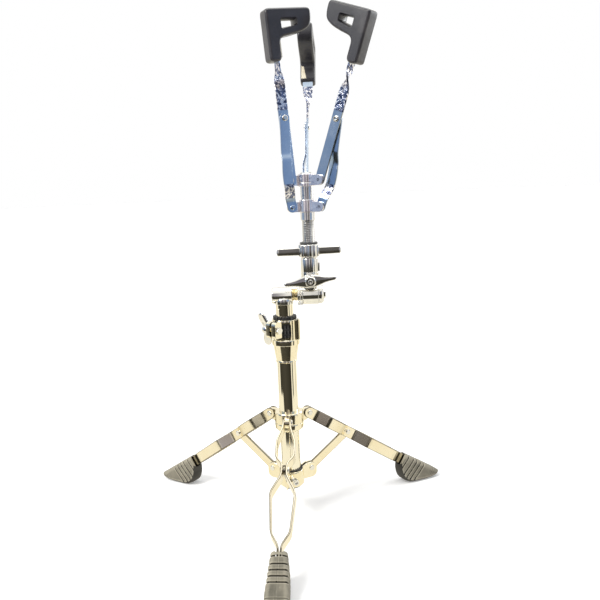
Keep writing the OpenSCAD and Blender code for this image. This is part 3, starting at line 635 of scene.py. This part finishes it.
# ribbed rubber feet, lofted along the leg
FB = [(199, -8.5), (201.5, -13.5), (205, -18.8), (209.5, -23.2), (214.5, -26.4), (219, -28.0), (223.6, -28.2), (231.2, -27.0),
      (235.8, -24.9), (255.7, -11.5), (264.4, -4.6), (270.7, 2.1), (274.0, 8.0), (274.4, 10.4)]
FT = [(199, 8.2), (200.4, 9.6), (202.2, 10.4), (230, 11.2), (271.0, 12.2), (273.2, 11.9), (274.4, 10.9)]
FW = [(199, 9.8), (201, 10.8), (214, 12.3), (252, 15.0), (266, 15.3), (271, 14.6), (274.4, 12.6)]
GROOVES = [205.6, 215.9, 223.6, 231.2, 239.0]
LIP = 258.5


def foot(nm, i):
    bm = B()
    n = 132
    rings, marks = [], []
    for k in range(n + 1):
        s = 199.05 + (274.35 - 199.05) * k / n
        hb, ht, w = interp(FB, s), interp(FT, s), interp(FW, s)
        hgt = ht - hb
        w *= math.sqrt(max(0.02, 1 - max(0.0, (s - 268) / 6.6) ** 2 * 0.35))
        rt = min(6.0, hgt * 0.42, w * 0.55)
        rb = min(6.5, hgt * 0.42, w * 0.55)
        ring, mark = [], []

        def add(t, h, nt_, nh, zone):
            sh = 5.5 * max(0.0, (ht - h) / 38) ** 1.3
            d = 0.0
            if zone != "b":
                low = smoothstep((h - hb - 2.2) / 2.5) if h < hb + 6 else 1.0
                for g in GROOVES:
                    x = (s + sh - g) / 1.0
                    if abs(x) < 3:
                        d = max(d, 2.1 * math.exp(-x * x * x * x) * low)
                x = (s + sh * 0.3 - LIP) / 0.6
                if abs(x) < 3:
                    d = max(d, 0.8 * math.exp(-x * x) * low)
                # gentle crown of each rib
                prev = [g for g in GROOVES if g < s + sh]
                nxt = [g for g in GROOVES if g >= s + sh]
                if prev and nxt:
                    f = (s + sh - prev[-1]) / (nxt[0] - prev[-1])
                    d += 0.6 * (1 - sin(pi * f)) * low
            if zone == "t" and 199 < s < 271:
                d -= 0.22 * math.exp(-((t - 0.4) / 0.5) ** 2) - 0.18 * math.exp(-((t + 0.6) / 0.45) ** 2)
            ring.append((s, t - nt_ * d, h - nh * d))
            # painted shade: faces deep in a groove and the underside are marked for slot 1, the dark groove shade
            mark.append(1 if d > 0.75 or zone == "b" else 0)

        for j in range(19):                      # top, from -t to +t
            t = (-1 + 2 * j / 18) * (w - rt)
            add(t, ht, 0, 1, "t")
        for j in range(1, 7):
            a = rad(90 - 90 * j / 7)
            add(w - rt + rt * cos(a), ht - rt + rt * sin(a), cos(a), sin(a), "c")
        for j in range(15):
            add(w, ht - rt - (hgt - rt - rb) * j / 14, 1, 0, "s")
        for j in range(1, 4):
            a = rad(-90 * j / 4)
            add(w - rb + rb * cos(a), hb + rb + rb * sin(a), cos(a), sin(a), "b")
        for j in range(9):
            add((1 - 2 * j / 8) * (w - rb), hb, 0, -1, "b")
        for j in range(1, 4):
            a = rad(-90 - 90 * j / 4)
            add(-w + rb + rb * cos(a), hb + rb + rb * sin(a), cos(a), sin(a), "b")
        for j in range(15):
            add(-w, hb + rb + (hgt - rt - rb) * j / 14, -1, 0, "s")
        for j in range(1, 7):
            a = rad(180 - 90 * j / 7)
            add(-w + rt + rt * cos(a), ht - rt + rt * sin(a), cos(a), sin(a), "c")
        rings.append(ring)
        marks.append(mark)
    M = leg_frame(i)
    vs = [[bm.verts.new(M @ Vector(p)) for p in r] for r in rings]
    m = len(rings[0])
    for a in range(n):
        for j in range(m):
            f = bm.faces.new((vs[a][j], vs[a][(j + 1) % m], vs[a + 1][(j + 1) % m], vs[a + 1][j]))
            # marked faces take the painted groove shade
            if marks[a][j] + marks[a + 1][j] + marks[a][(j + 1) % m] + marks[a + 1][(j + 1) % m] >= 3:
                f.material_index = 1
    bm.faces.new(vs[0][::-1])
    bm.faces.new(vs[-1])
    cb = B()
    mouth = rrect(10.2, 5.6, 3.0, 4)
    rings = []
    for s, k in ((192, 1.12), (199.6, 1.0), (203, 0.92), (208, 0.76)):
        rings.append([(s, t * k, h * (0.86 + 0.14 * k)) for h, t in mouth])
    # the socket mouth cut takes slot 1, so its walls get the painted groove shade
    loft(cb, rings, M, mat=1)
    finish(f"foot_rubber_{nm}", bm, f"leg_{nm}", [OLIVE, GROOVE], [f"foot_{nm}"], cutters=[(cb, "DIFFERENCE")])


for nm, i in LEGS:
    foot(nm, i)

# ------------------------------------------------------------------ tilter
TZ, BX = 334.5, 39.0
XM = T(0, 0, TZ) @ TO_X
bm = B()
lathe(bm, [(3.4, -15.2), (3.9, -17.4), (4.4, -17.6), (9.6, -17.6), (11.2, -16.9), (12, -15.4), (12, 10.9), (11.5, 11.7), (3.4, 11.7)],
      XM, 72, closed=True)
lathe(bm, [(12.55, 321.7), (13.1, 321.5), (13.6, 322.1), (13.6, 327.5), (13.2, 329.6), (11.6, 331.5), (9, 332)], seg=64)
disc(bm, 3.5, -16.2, 0, XM, c=0.6, seg=24)
finish("head_tee", bm, "head", [BRIGHT], ["t_head"], bevel=0.15, segs=1)

bm = B()
lathe(bm, [(7.4, 11.5), (8.6, 11.9), (8.6, 14.2), (8.0, 14.9), (8.0, 15.9), (8.6, 16.6), (8.6, 20.2), (4.2, 20.3), (4.2, 60.0), (3.7, 60.6)],
      XM, 56)
finish("neck", bm, "head", BRASS, ["tilter_neck"], bevel=0.15, segs=1)


def toothed(bm, M, z0, z1, r, n, bore, depth=1.1):
    seg = n * 6
    c = 0.35
    rings = [[] for _ in range(6)]
    for k in range(seg):
        a = 2 * pi * k / seg
        q = (k % 6) / 6
        ro = r - depth * (1.0 if q < 0.34 else (0.0 if q < 0.84 else 0.5))
        for rr, (rad_, z) in zip(rings, ((bore, z0), (ro - c, z0), (ro, z0 + c), (ro, z1 - c), (ro - c, z1), (bore, z1))):
            rr.append((rad_ * cos(a), rad_ * sin(a), z))
    loft(bm, rings, M, closed=True)


bm = B()
toothed(bm, XM, 20.3, 23.7, 15, 24, 4.2)
finish("ratchet_a", bm, "head", BRIGHT, ["ratchet_fixed"])
bm = B()
toothed(bm, XM, 24.0, 27.4, 15, 24, 4.6)
finish("ratchet_b", bm, "tilter", BRIGHT, ["ratchet_moving"])

BF = T(BX, 0, 0)
bm = B()
lathe(bm, [(4.6, 27.4), (13.9, 27.4), (14.6, 28.1), (14.6, 49.8), (14.0, 50.4), (4.6, 50.4)], XM, 80, closed=True)
lathe(bm, [(9.25, 334.5), (12.6, 334.5), (12.6, 366.4), (12.3, 366.9), (12.3, 367.5), (12.6, 368.0), (12.6, 385.9), (12.1, 387.0), (11.4, 387.2), (9.25, 387.2)],
      BF, 72, closed=True)
lathe(bm, [(9.4, -15.4), (10.3, -15.0), (10.5, -14.2), (10.5, 14.2), (10.3, 15.0), (9.4, 15.4)], BF @ T(0, 0, 356) @ TO_Y, 56)
key = soften([(11, -2), (14.6, -2), (14.6, 2), (11, 2)], 0.8, 3, closed=True)
prism(bm, key, 368, 380, BF)
cb = B()
box(cb, (-1.2, -20, 349.5), (1.2, -6, 365.5), BF)
finish("tilter_casting", bm, "tilter", BRIGHT, ["tilter_body"], bevel=0.35, segs=2)

bm = B()
lathe(bm, [(4.6, 50.4), (13.7, 50.4), (14.2, 50.9), (14.2, 54.2), (13.6, 55.3), (12.2, 57.0), (11.4, 57.8), (10.2, 57.8), (8.8, 57.0), (8.6, 56.6), (4.6, 56.6)],
      XM, 72, closed=True)
finish("flange_end", bm, "tilter", BRIGHT, ["tilter_end_flange"], bevel=0.12, segs=1)
bm = B()
hx = [(7.2 * cos(rad(60 * k)), 7.2 * sin(rad(60 * k))) for k in range(6)]
prism(bm, hx, 57.0, 60.6, XM)
finish("nut_end", bm, "head", BRIGHT, ["tilter_end_nut"], bevel=0.5, segs=3)

YB = BF @ T(0, 0, 356)
bm = B()
lathe(bm, [(1.6, -29.2), (1.7, -30.2), (2.8, -30.4), (3.3, -29.9), (3.3, 15.4), (1.6, 15.4)], YB @ TO_Y, 32, closed=True)
disc(bm, 1.62, -29.3, 10, YB @ TO_Y, c=0.1, seg=24)
prism(bm, [(6 * cos(rad(60 * k)), 6 * sin(rad(60 * k))) for k in range(6)], 15.4, 19.8, YB @ TO_Y)
finish("bolt_tilter", bm, "tilter", BRIGHT, ["tilter_bolt"], bevel=0.35, segs=2)

# eye-shaped wing nut
bm = B()
NB = YB @ RY(-5.7)
UP = [(-37.5, 0.9), (-35, 2.6), (-27, 3.3), (-20, 4.6), (-14, 6.6), (-6, 8.7), (0, 9.2), (6, 8.7), (14, 6.6), (20, 4.6), (27, 3.3), (35, 2.6), (37.5, 0.9)]
LO = [(-37.5, -0.7), (-35, -2.8), (-27, -3.6), (-20, -4.9), (-14, -6.8), (-6, -9), (0, -9.6), (6, -9), (14, -6.8), (20, -4.9), (27, -3.6), (35, -2.8), (37.5, -0.7)]
rings = []
for k in range(73):
    x = -37.4 + 74.8 * k / 72
    # crowned in Y: thick in the middle, thin at the tips, and bowed slightly forward at the tips
    hy = 3.2 * (0.62 + 0.38 * math.exp(-(x / 15) ** 2)) * math.sqrt(max(0.03, 1 - (abs(x) / 37.6) ** 8))
    zc, zh = (interp(UP, x) + interp(LO, x)) / 2, (interp(UP, x) - interp(LO, x)) / 2
    yc = -21.6 + 0.5 * (1 - math.exp(-(x / 18) ** 2))
    ring = []
    for j in range(28):
        a = 2 * pi * j / 28
        ca, sa = cos(a), sin(a)
        ring.append((x, yc + hy * math.copysign(abs(ca) ** 0.8, ca), zc + zh * math.copysign(abs(sa) ** 0.85, sa)))
    rings.append(ring)
loft(bm, rings, NB)
lathe(bm, [(3.6, 15.8), (8.6, 15.8), (9.2, 16.4), (9.2, 18.5), (8.3, 25.6), (7.6, 26.6), (7.2, 28.2), (6.2, 29.0), (5.0, 29.0), (4.3, 28.0), (3.7, 27.2)],
      NB @ TO_NY, 56, closed=True)
finish("wingnut_tilter", bm, "tilter_nut", BRIGHT, ["tilter_wing_nut"])

# ------------------------------------------------------------------ basket column
bm = B()
lathe(bm, [(8.4, 366.3), (9.2, 367.0), (9.2, 390.2)], BF, 56)
lathe(bm, [(9.2, 452.0), (9.2, 505.9), (8.6, 507.4), (7.4, 508.3), (5, 508.3)], BF, 56)
seg, P, Z0, Z1 = 56, 2.5, 390.0, 452.4
rows = int((Z1 - Z0) / P * 10)
rings = []
for k in range(rows + 1):
    z = Z0 + (Z1 - Z0) * k / rows
    ends = min(1.0, (z - Z0) / 2.0, (Z1 - z) / 2.0)
    ring = []
    for j in range(seg):
        f = ((z - Z0) / P - j / seg) % 1.0
        tri = abs(f - 0.5) * 2          # 1 at the crest, 0 at the root
        r = 9.2 - 1.15 * max(0.0, 1 - max(0.0, tri - 0.12) * 1.25) * ends
        ring.append((r * cos(2 * pi * j / seg), r * sin(2 * pi * j / seg), z))
    rings.append(ring)
loft(bm, rings, BF)
finish("rod_threaded", bm, "tilter", ROD, ["threaded_rod"])
bm = B()
pipe(bm, 9.25, 11.6, 387.25, 388.9, BF, c=0.35)
finish("ring_lock", bm, "tilter", BRIGHT, ["rod_lock_ring"])

bm = B()
seg = 144
prof = [(9.5, 389.2, 0), (13.2, 389.2, 0.25), (14.4, 389.8, 0.7), (15.0, 390.9, 1), (15.0, 405.3, 1), (14.4, 406.6, 0.7), (13.2, 407.3, 0.25), (9.5, 407.3, 0)]
rings = []
for r, z, f in prof:
    ring = []
    for k in range(seg):
        a = 2 * pi * k / seg
        d = ((math.degrees(a) - 23) % 30)
        d = min(d, 30 - d)
        cutd = max(0.0, 1 - (d / 6.8) ** 2) * 1.15
        rr = r - cutd * f
        ring.append((rr * cos(a), rr * sin(a), z))
    rings.append(ring)
loft(bm, rings, BF, closed=True)
for s in (0, 180):
    rings = []
    for k in range(31):
        f = k / 30
        x = 12 + 34.9 * f
        e = math.sqrt(max(0.05, 1 - max(0, (f - 0.93) / 0.075) ** 2))
        hz = 5.6 * (1 - 0.06 * smoothstep(f)) * e
        hy = 2.9 * (1 - 0.12 * f) * e
        ring = []
        for j in range(28):
            a = 2 * pi * j / 28
            ca, sa = cos(a), sin(a)
            ring.append((x, hy * math.copysign(abs(ca) ** 0.55, ca), 397 + hz * math.copysign(abs(sa) ** 0.34, sa)))
        rings.append(ring)
    loft(bm, rings, BF @ RZ(8 + s))
finish("wingnut_basket", bm, "basket_nut", BRIGHT, ["basket_wing_nut"])
bm = B()
pipe(bm, 9.55, 12.8, 407.6, 410.0, BF, c=0.5)
finish("washer_nylon", bm, "nut_washer", NYLON, ["basket_washer"])

AH = [84, 204, 324]
AO = [24.5, 5, 21]
AZ, KZ = 497.3, 460.2


def ears(bm, z):
    for h in AH:
        pts = [(9.9, z - 7.2)]
        for k in range(13):
            a = rad(-90 + 180 * k / 12)
            pts.append((23 + 7.2 * cos(a), z + 7.2 * sin(a)))
        pts.append((9.9, z + 7.2))
        loft(bm, [[(x, -4.6, q) for x, q in pts], [(x, -1.55, q) for x, q in pts]], BF @ RZ(h))


bm = B()
lathe(bm, [(9.3, 489), (11.4, 489), (12, 489.6), (12, 493.2), (11.6, 493.7), (11.6, 494.3), (12, 494.8), (12, 505.4), (11.2, 506.4), (9.3, 506.4)],
      BF, 64, closed=True)
ears(bm, AZ)
cb = B()
for z in (492.2, 500.2):
    # the hole cutters take slot 1, the painted recess shade
    lathe(cb, [(1.5, 8), (1.5, 16)], BF @ RZ(264) @ T(0, 0, z) @ TO_X, 20, mat=1)
finish("bracket_top", bm, "tilter", [CHROME_MAUVE_REFLECTION, RECESS_SHADE], ["upper_bracket"], bevel=0.5, segs=2)
bm = B()
lathe(bm, [(9.4, 452.8), (11.4, 452.8), (12, 453.4), (12, 469.8), (11.4, 470.4), (9.4, 470.4)], BF, 64, closed=True)
ears(bm, KZ)
finish("bracket_low", bm, "lower_basket", CHROME_MAUVE_REFLECTION, ["lower_bracket"], bevel=0.5, segs=2)
bm = B()
pipe(bm, 9.4, 10.7, 441.4, 452.8, BF, c=0.5)
finish("sleeve", bm, "lower_basket", BRIGHT, ["bracket_sleeve"])
screws("screws_top", "tilter", [(BF @ RZ(h) @ T(23, 0, AZ), -4.6, 4.2, 1.55, 3.6) for h in AH], ["upper_screws"])
screws("screws_low", "lower_basket", [(BF @ RZ(h) @ T(23, 0, KZ), -4.6, 4.2, -1.55, 0) for h in AH], ["lower_screws"])


def arm_frame(i):
    return BF @ RZ(AH[i]) @ T(23, 0, AZ) @ RY(AO[i])


ARMS = (("back", 0), ("left", 1), ("right", 2))
for nm, i in ARMS:
    M = arm_frame(i)
    bm = B()
    zs = [-7.5 * cos(rad(a)) for a in (7, 20, 35, 50, 65, 80)] + [0, 20, 40, 60, 80, 96, 104, 110, 115]
    zs += [118 + 1.25 * k for k in range(29)] + [158, 165, 172, 181]
    rings, tags = [], []
    for z in zs:
        hw = 7.5 if z >= 0 else math.sqrt(max(7.5 ** 2 - z * z, 0.05))
        f = smoothstep((z - 119) / 33)
        a = -rad(90) * f
        pinch = 1 - 0.05 * sin(pi * f)
        ring = [(w * pinch * cos(a) - t * sin(a), w * pinch * sin(a) + t * cos(a), z) for w, t in rrect(hw, 1.25, 0.5, 3)]
        rings.append(ring)
    vs = loft(bm, rings, M)
    # painted reflection: faces of the twisted section take slot 1, the speckled painted-reflection chrome
    Mi = M.inverted()
    for f in bm.faces:
        z = (Mi @ f.calc_center_median()).z
        f.material_index = 1 if 97 < z < (152 if nm == "back" else 160) else 0
    # the right arm takes the paler painted reflection
    finish(f"arm_strap_{nm}", bm, f"arm_{nm}", [CHROME_LIGHTER_BLUISH_REFLECTION if nm == "right" else CHROME_BLUISH_REFLECTION, CHROME_GLINT_REFLECTION], [f"arm_{nm}"])

    bm = B()
    R = M @ T(0, 0, 85.5)
    lathe(bm, [(1.4, 1.3), (1.9, 1.75), (2.6, 2.1), (3.4, 1.9), (4.0, 1.4), (4.25, 0.6), (4.25, -0.05), (2.5, -0.1), (2.5, -5.6), (1.4, -5.6)],
          R @ T(0, -1.25, 0) @ TO_NY, 36)
    lathe(bm, [(4.2, 0), (4.15, 0.6), (3.6, 1.2), (2.6, 1.5), (1.2, 1.5)], R @ T(0, 4.35, 0) @ TO_Y, 32)
    finish(f"rivet_head_{nm}", bm, f"arm_{nm}", BRIGHT, [f"rivet_{nm}"])

    # soft tip
    o, h = 13.0, 68.0
    e = o - 67.0
    out = [(o, 2.5), (o, h - 3), (o - 3, h), (e + 3.5, h), (e, h - 4), (e + 0.6, h - 17), (e + 4, h - 25), (e + 14, h - 30.4), (e + 28, h - 33.8),
           (-9.0, h - 36.5), (-4.5, h - 41.5), (-4.5, 4), (-1.0, 0), (o - 3.5, 0)]
    rad_ = [4, 5, 5, 5, 5, 6, 6, 6, 6, 6, 6, 3, 2.5, 3.5]
    pts = soften(out, rad_, 5, closed=True)
    bm = B()
    W = 11.0
    rings = []
    # chamfered side faces: the outline shrinks towards each side
    c = [sum(p[k] for p in pts) / len(pts) for k in (0, 1)]
    m = len(pts)

    def inset(d):
        res = []
        for k in range(m):
            a, b, q = Vector(pts[k - 1]), Vector(pts[k]), Vector(pts[(k + 1) % m])
            t1 = (b - a).normalized() if (b - a).length > 1e-5 else None
            t2 = (q - b).normalized() if (q - b).length > 1e-5 else None
            t1 = t1 or t2
            t2 = t2 or t1
            t = (t1 + t2)
            t = t.normalized() if t.length > 1e-5 else t1
            nrm = Vector((-t.y, t.x))
            res.append(b + nrm * d)
        return res

    area = sum(pts[k - 1][0] * pts[k][1] - pts[k][0] * pts[k - 1][1] for k in range(m))
    sg = 1 if area > 0 else -1
    for t, d in ((-W, 2.9), (-W + 0.35, 1.9), (-W + 1.1, 0.95), (-W + 2.1, 0.3), (-W + 3.2, 0.0), (W - 3.2, 0.0), (W - 2.1, 0.3), (W - 1.1, 0.95),
                 (W - 0.35, 1.9), (W, 2.9)):
        ring = inset(d * sg)
        rings.append([(p.x, t, p.y) for p in ring])
    loft(bm, rings, M @ T(0, 0, 159))
    cb = B()
    slot = soften([(-31.0, 53.2), (-31.0, 46.4), (-9.2, 43.4), (-9.2, 53.2)], 2.0, 4, closed=True)
    rings = []
    for t, g in ((-14, 1.72), (-11, 1.5), (-7, 1.22), (-3, 1.0), (3, 1.0), (7, 1.22), (11, 1.5), (14, 1.72)):
        rings.append([(-20 + (x + 20) * (1 + (g - 1) * 0.22), t, 48.8 + (z - 48.8) * g) for x, z in slot])
    loft(cb, rings, M @ T(0, 0, 159))
    finish(f"tip_rubber_{nm}", bm, f"arm_{nm}", SLATE, [f"tip_{nm}"], cutters=[(cb, "DIFFERENCE")],
           flat_axis=(M.to_3x3() @ Vector((0, 1, 0))).normalized())
    # the steel insert that shows on the inner face of the stem
    bm = B()
    pl = soften([(1.8, 5), (9.3, 5), (9.3, 40), (8.3, 40)], 0.5, 3, closed=True)
    loft(bm, [[(-4.95, t, z) for t, z in pl], [(-3.9, t, z) for t, z in pl]], M @ T(0, 0, 159))
    finish(f"tip_plate_{nm}", bm, f"arm_{nm}", CREAM_PLATE, bevel=0.2)

    # link: a band at constant heights, with its dog-leg and its joggles smoothed
    rx = 85.5 * sin(rad(AO[i]))
    rz = AZ - KZ + 85.5 * cos(rad(AO[i]))
    b = math.hypot(rx, rz)
    LM = BF @ RZ(AH[i]) @ T(23, 0, KZ) @ RY(math.degrees(math.atan2(rx, rz)))
    px = soften([(-12, -0.4), (0, 0), (40, 6.5), (84, 2.5), (b + 12, -0.5)], 16, 8)
    pt = soften([(-12, 0), (12, 0), (27, 7), (64, 7), (77, 2.8), (b + 12, 2.8)], 4.5, 6)
    tabx = sorted(px)
    tabt = sorted(pt)
    zs = [-7.2 * cos(rad(a)) for a in (7, 20, 35, 50, 65, 80)] + [2.2 * k for k in range(int(b / 2.2) + 1)] + [b] + \
         [b + 7.2 * cos(rad(a)) for a in (80, 65, 50, 35, 20, 7)]
    bm = B()
    rings = []
    for z in zs:
        x, t = interp(tabx, z), interp(tabt, z)
        dx = (interp(tabx, z + 0.5) - interp(tabx, z - 0.5))
        dt = (interp(tabt, z + 0.5) - interp(tabt, z - 0.5))
        if z < 0:
            x, dx, hw = interp(tabx, 0.0), 0, math.sqrt(max(7.2 ** 2 - z * z, 0.05))
        elif z > b:
            x, dx, hw = interp(tabx, b), 0, math.sqrt(max(7.2 ** 2 - (z - b) ** 2, 0.05))
        else:
            hw = 7.2 * math.sqrt(1 + dx * dx)
        ht = 1.25 * math.sqrt(1 + dt * dt)
        rings.append([(x + w, t + q, z) for w, q in rrect(hw, ht, 0.5, 3)])
    loft(bm, rings, LM)
    # painted reflection: faces of the joggle take slot 1, the speckled painted-reflection chrome
    Li = LM.inverted()
    for f in bm.faces:
        z = (Li @ f.calc_center_median()).z
        f.material_index = 1 if 14 < z < 33 else 0
    lathe(bm, [(3.8, -0.05), (3.7, 0.5), (3.2, 1.1), (2.2, 1.5), (1, 1.5)], LM @ T(0, 1.25, 0) @ TO_Y, 28)
    finish(f"link_bar_{nm}", bm, f"link_{nm}", [CHROME_BLUISH_REFLECTION, CHROME_GLINT_REFLECTION], [f"link_{nm}"])


# ------------------------------------------------------------------ floor, studio, camera
def stage_floor():
    bm = B()
    bmesh.ops.create_circle(bm, cap_ends=True, segments=96, radius=30.0)
    for v in bm.verts:
        v.co.z = -0.0003
    me = bpy.data.meshes.new("floor")
    bm.to_mesh(me)
    bm.free()
    o = bpy.data.objects.new("floor", me)
    scene.collection.objects.link(o)
    m = bpy.data.materials.new("floor_paper")
    m.use_nodes = True
    nt = m.node_tree
    N, L = nt.nodes, nt.links
    N.clear()
    out = N.new("ShaderNodeOutputMaterial")
    lp = N.new("ShaderNodeLightPath")
    mx = N.new("ShaderNodeMixShader")
    dif = N.new("ShaderNodeBsdfDiffuse")
    dif.inputs["Color"].default_value = (0.86, 0.86, 0.86, 1)
    em = N.new("ShaderNodeEmission")
    em.inputs["Color"].default_value = (1, 1, 1, 1)
    em.inputs["Strength"].default_value = 0.235
    add = N.new("ShaderNodeAddShader")
    L.new(dif.outputs[0], add.inputs[0])
    L.new(em.outputs[0], add.inputs[1])
    refl = N.new("ShaderNodeEmission")
    tc = N.new("ShaderNodeTexCoord")
    sx = N.new("ShaderNodeSeparateXYZ")
    L.new(tc.outputs["Object"], sx.inputs[0])
    colr = azimuth_colours(nt, sx.outputs["X"], sx.outputs["Y"], FLOOR_STOPS)
    ln = N.new("ShaderNodeVectorMath")
    ln.operation = "LENGTH"
    L.new(tc.outputs["Object"], ln.inputs[0])
    near = N.new("ShaderNodeMapRange")
    near.inputs[1].default_value, near.inputs[2].default_value = -0.015, 0.015
    near.clamp = True
    thr = azimuth_colours(nt, sx.outputs["X"], sx.outputs["Y"], CREAM_RADIUS)
    sub = N.new("ShaderNodeMath")
    sub.operation = "SUBTRACT"
    L.new(ln.outputs["Value"], sub.inputs[0])
    L.new(thr, sub.inputs[1])
    L.new(sub.outputs[0], near.inputs[0])
    far = N.new("ShaderNodeMapRange")
    far.inputs[1].default_value, far.inputs[2].default_value = 3.0, 4.2
    L.new(ln.outputs["Value"], far.inputs[0])
    sky = azimuth_colours(nt, sx.outputs["X"], sx.outputs["Y"], SKY_STOPS)
    mf = N.new("ShaderNodeMix")
    mf.data_type = "RGBA"
    L.new(far.outputs[0], mf.inputs[0])
    L.new(colr, mf.inputs[6])
    L.new(sky, mf.inputs[7])
    mc = N.new("ShaderNodeMix")
    mc.data_type = "RGBA"
    L.new(near.outputs[0], mc.inputs[0])
    mc.inputs[6].default_value = (1.0, 0.95, 0.80, 1)
    L.new(mf.outputs[2], mc.inputs[7])
    L.new(mc.outputs[2], refl.inputs["Color"])
    L.new(lp.outputs["Is Glossy Ray"], mx.inputs[0])
    L.new(add.outputs[0], mx.inputs[1])
    L.new(refl.outputs[0], mx.inputs[2])
    L.new(mx.outputs[0], out.inputs[0])
    me.materials.append(m)


def azimuth_colours(nt, x, y, stops):
    """Colours by the heading of a direction, 0 towards -Y and positive towards +X, in degrees."""
    N, L = nt.nodes, nt.links
    neg = N.new("ShaderNodeMath")
    neg.operation = "MULTIPLY"
    L.new(y, neg.inputs[0])
    neg.inputs[1].default_value = -1
    at = N.new("ShaderNodeMath")
    at.operation = "ARCTAN2"
    L.new(x, at.inputs[0])
    L.new(neg.outputs[0], at.inputs[1])
    mr = N.new("ShaderNodeMapRange")
    mr.inputs[1].default_value, mr.inputs[2].default_value = -pi, pi
    L.new(at.outputs[0], mr.inputs[0])
    r = N.new("ShaderNodeValToRGB")
    e = r.color_ramp.elements
    while len(e) < len(stops):
        e.new(0.5)
    for k, (deg, col) in enumerate(stops):
        e[k].position = (deg + 180) / 360
        e[k].color = (*col, 1)
    L.new(mr.outputs[0], r.inputs[0])
    return r.outputs["Color"]


CREAM, WHITE, BLK = (1.0, 0.95, 0.80), (1.02, 1.0, 0.95), (0.012, 0.012, 0.011)
OL, TAN = (0.050, 0.047, 0.036), (0.45, 0.36, 0.22)
NAVY, SKY = (0.13, 0.19, 0.32), (0.40, 0.52, 0.70)
FLOOR_STOPS = [(-180, CREAM), (-125, CREAM), (-118, TAN), (-112, CREAM), (-92, CREAM), (-86, BLK), (-74, OL), (-25, (0.065, 0.06, 0.047)),
               (8, OL), (40, (0.03, 0.027, 0.02)), (46, BLK), (50, CREAM), (60, CREAM), (63, BLK), (71, BLK), (75, CREAM),
               (104, CREAM), (112, TAN), (120, CREAM), (180, CREAM)]
SKY_STOPS = [(-180, WHITE), (-130, WHITE), (-112, (0.55, 0.52, 0.5)), (-104, WHITE), (-92, SKY), (-78, NAVY), (-60, SKY), (-50, BLK), (-44, WHITE),
             (-36, (0.5, 0.48, 0.55)), (-18, (0.16, 0.15, 0.18)), (-4, (0.30, 0.28, 0.31)), (0, WHITE), (6, (0.2, 0.19, 0.2)),
             (22, (0.10, 0.095, 0.09)), (30, (0.75, 0.66, 0.66)), (36, NAVY), (52, SKY), (66, NAVY), (72, WHITE), (96, WHITE),
             (104, (0.35, 0.34, 0.36)), (112, WHITE), (180, WHITE)]

CREAM_RADIUS = [(-180, (0.62,) * 3), (-58, (0.62,) * 3), (-50, (0.30,) * 3), (42, (0.30,) * 3), (50, (0.6,) * 3), (180, (0.6,) * 3)]
stage_floor()

w = bpy.data.worlds.new("studio")
scene.world = w
w.use_nodes = True
nt = w.node_tree
N, L = nt.nodes, nt.links
N.clear()
out = N.new("ShaderNodeOutputWorld")
bg = N.new("ShaderNodeBackground")
lp = N.new("ShaderNodeLightPath")
tc = N.new("ShaderNodeTexCoord")
sx = N.new("ShaderNodeSeparateXYZ")
L.new(tc.outputs["Generated"], sx.inputs[0])
col = azimuth_colours(nt, sx.outputs["X"], sx.outputs["Y"], SKY_STOPS)
up = N.new("ShaderNodeMapRange")
up.inputs[1].default_value, up.inputs[2].default_value = 0.50, 0.66
L.new(sx.outputs["Z"], up.inputs[0])
m1 = N.new("ShaderNodeMix")
m1.data_type = "RGBA"
L.new(up.outputs[0], m1.inputs[0])
L.new(col, m1.inputs[6])
m1.inputs[7].default_value = (1.1, 1.1, 1.06, 1)
m2 = N.new("ShaderNodeMix")
m2.data_type = "RGBA"
L.new(lp.outputs["Is Glossy Ray"], m2.inputs[0])
m3 = N.new("ShaderNodeMix")
m3.data_type = "RGBA"
L.new(lp.outputs["Is Camera Ray"], m3.inputs[0])
m3.inputs[6].default_value = (0.50, 0.50, 0.50, 1)
m3.inputs[7].default_value = (1.0, 1.0, 1.0, 1)
L.new(m3.outputs[2], m2.inputs[6])
L.new(m1.outputs[2], m2.inputs[7])
L.new(m2.outputs[2], bg.inputs["Color"])
bg.inputs["Strength"].default_value = 1.0
L.new(bg.outputs[0], out.inputs[0])


def area(name, loc, target, size, power, colr=(1, 1, 1)):
    d = bpy.data.lights.new(name, "AREA")
    d.shape = "RECTANGLE"
    d.size, d.size_y = size
    d.energy = power
    d.color = colr
    o = bpy.data.objects.new(name, d)
    o.location = loc
    o.rotation_euler = (Vector(target) - Vector(loc)).to_track_quat("-Z", "Y").to_euler()
    scene.collection.objects.link(o)
    return o


d = bpy.data.lights.new("sun", "SUN")
d.energy = 1.75
d.angle = rad(20)
sun = bpy.data.objects.new("sun", d)
sun.rotation_euler = (Vector((0.62, 0.42, -1.0))).to_track_quat("-Z", "Y").to_euler()
scene.collection.objects.link(sun)
sun.visible_glossy = False
area("key", (-1.3, -0.9, 1.5), (0, 0, 0.3), (0.7, 0.7), 16, (1.0, 0.97, 0.90))
area("top", (0.2, 0.1, 2.0), (0, 0, 0.3), (1.0, 1.0), 9)
area("rim", (1.5, 0.9, 0.9), (0, 0, 0.4), (0.4, 0.9), 7, (0.92, 0.96, 1.0))

cam = bpy.data.cameras.new("camera")
cam.sensor_width = 36
cam.lens = 41.12
cam.clip_start, cam.clip_end = 0.01, 100
co = bpy.data.objects.new("camera", cam)
co.matrix_world = T(0.0233, -0.9828, 0.4918) @ RX(90 - 9.56) @ RZ(-2.34)
scene.collection.objects.link(co)
scene.camera = co
scene.view_settings.view_transform = "Standard"
scene.view_settings.look = "None"
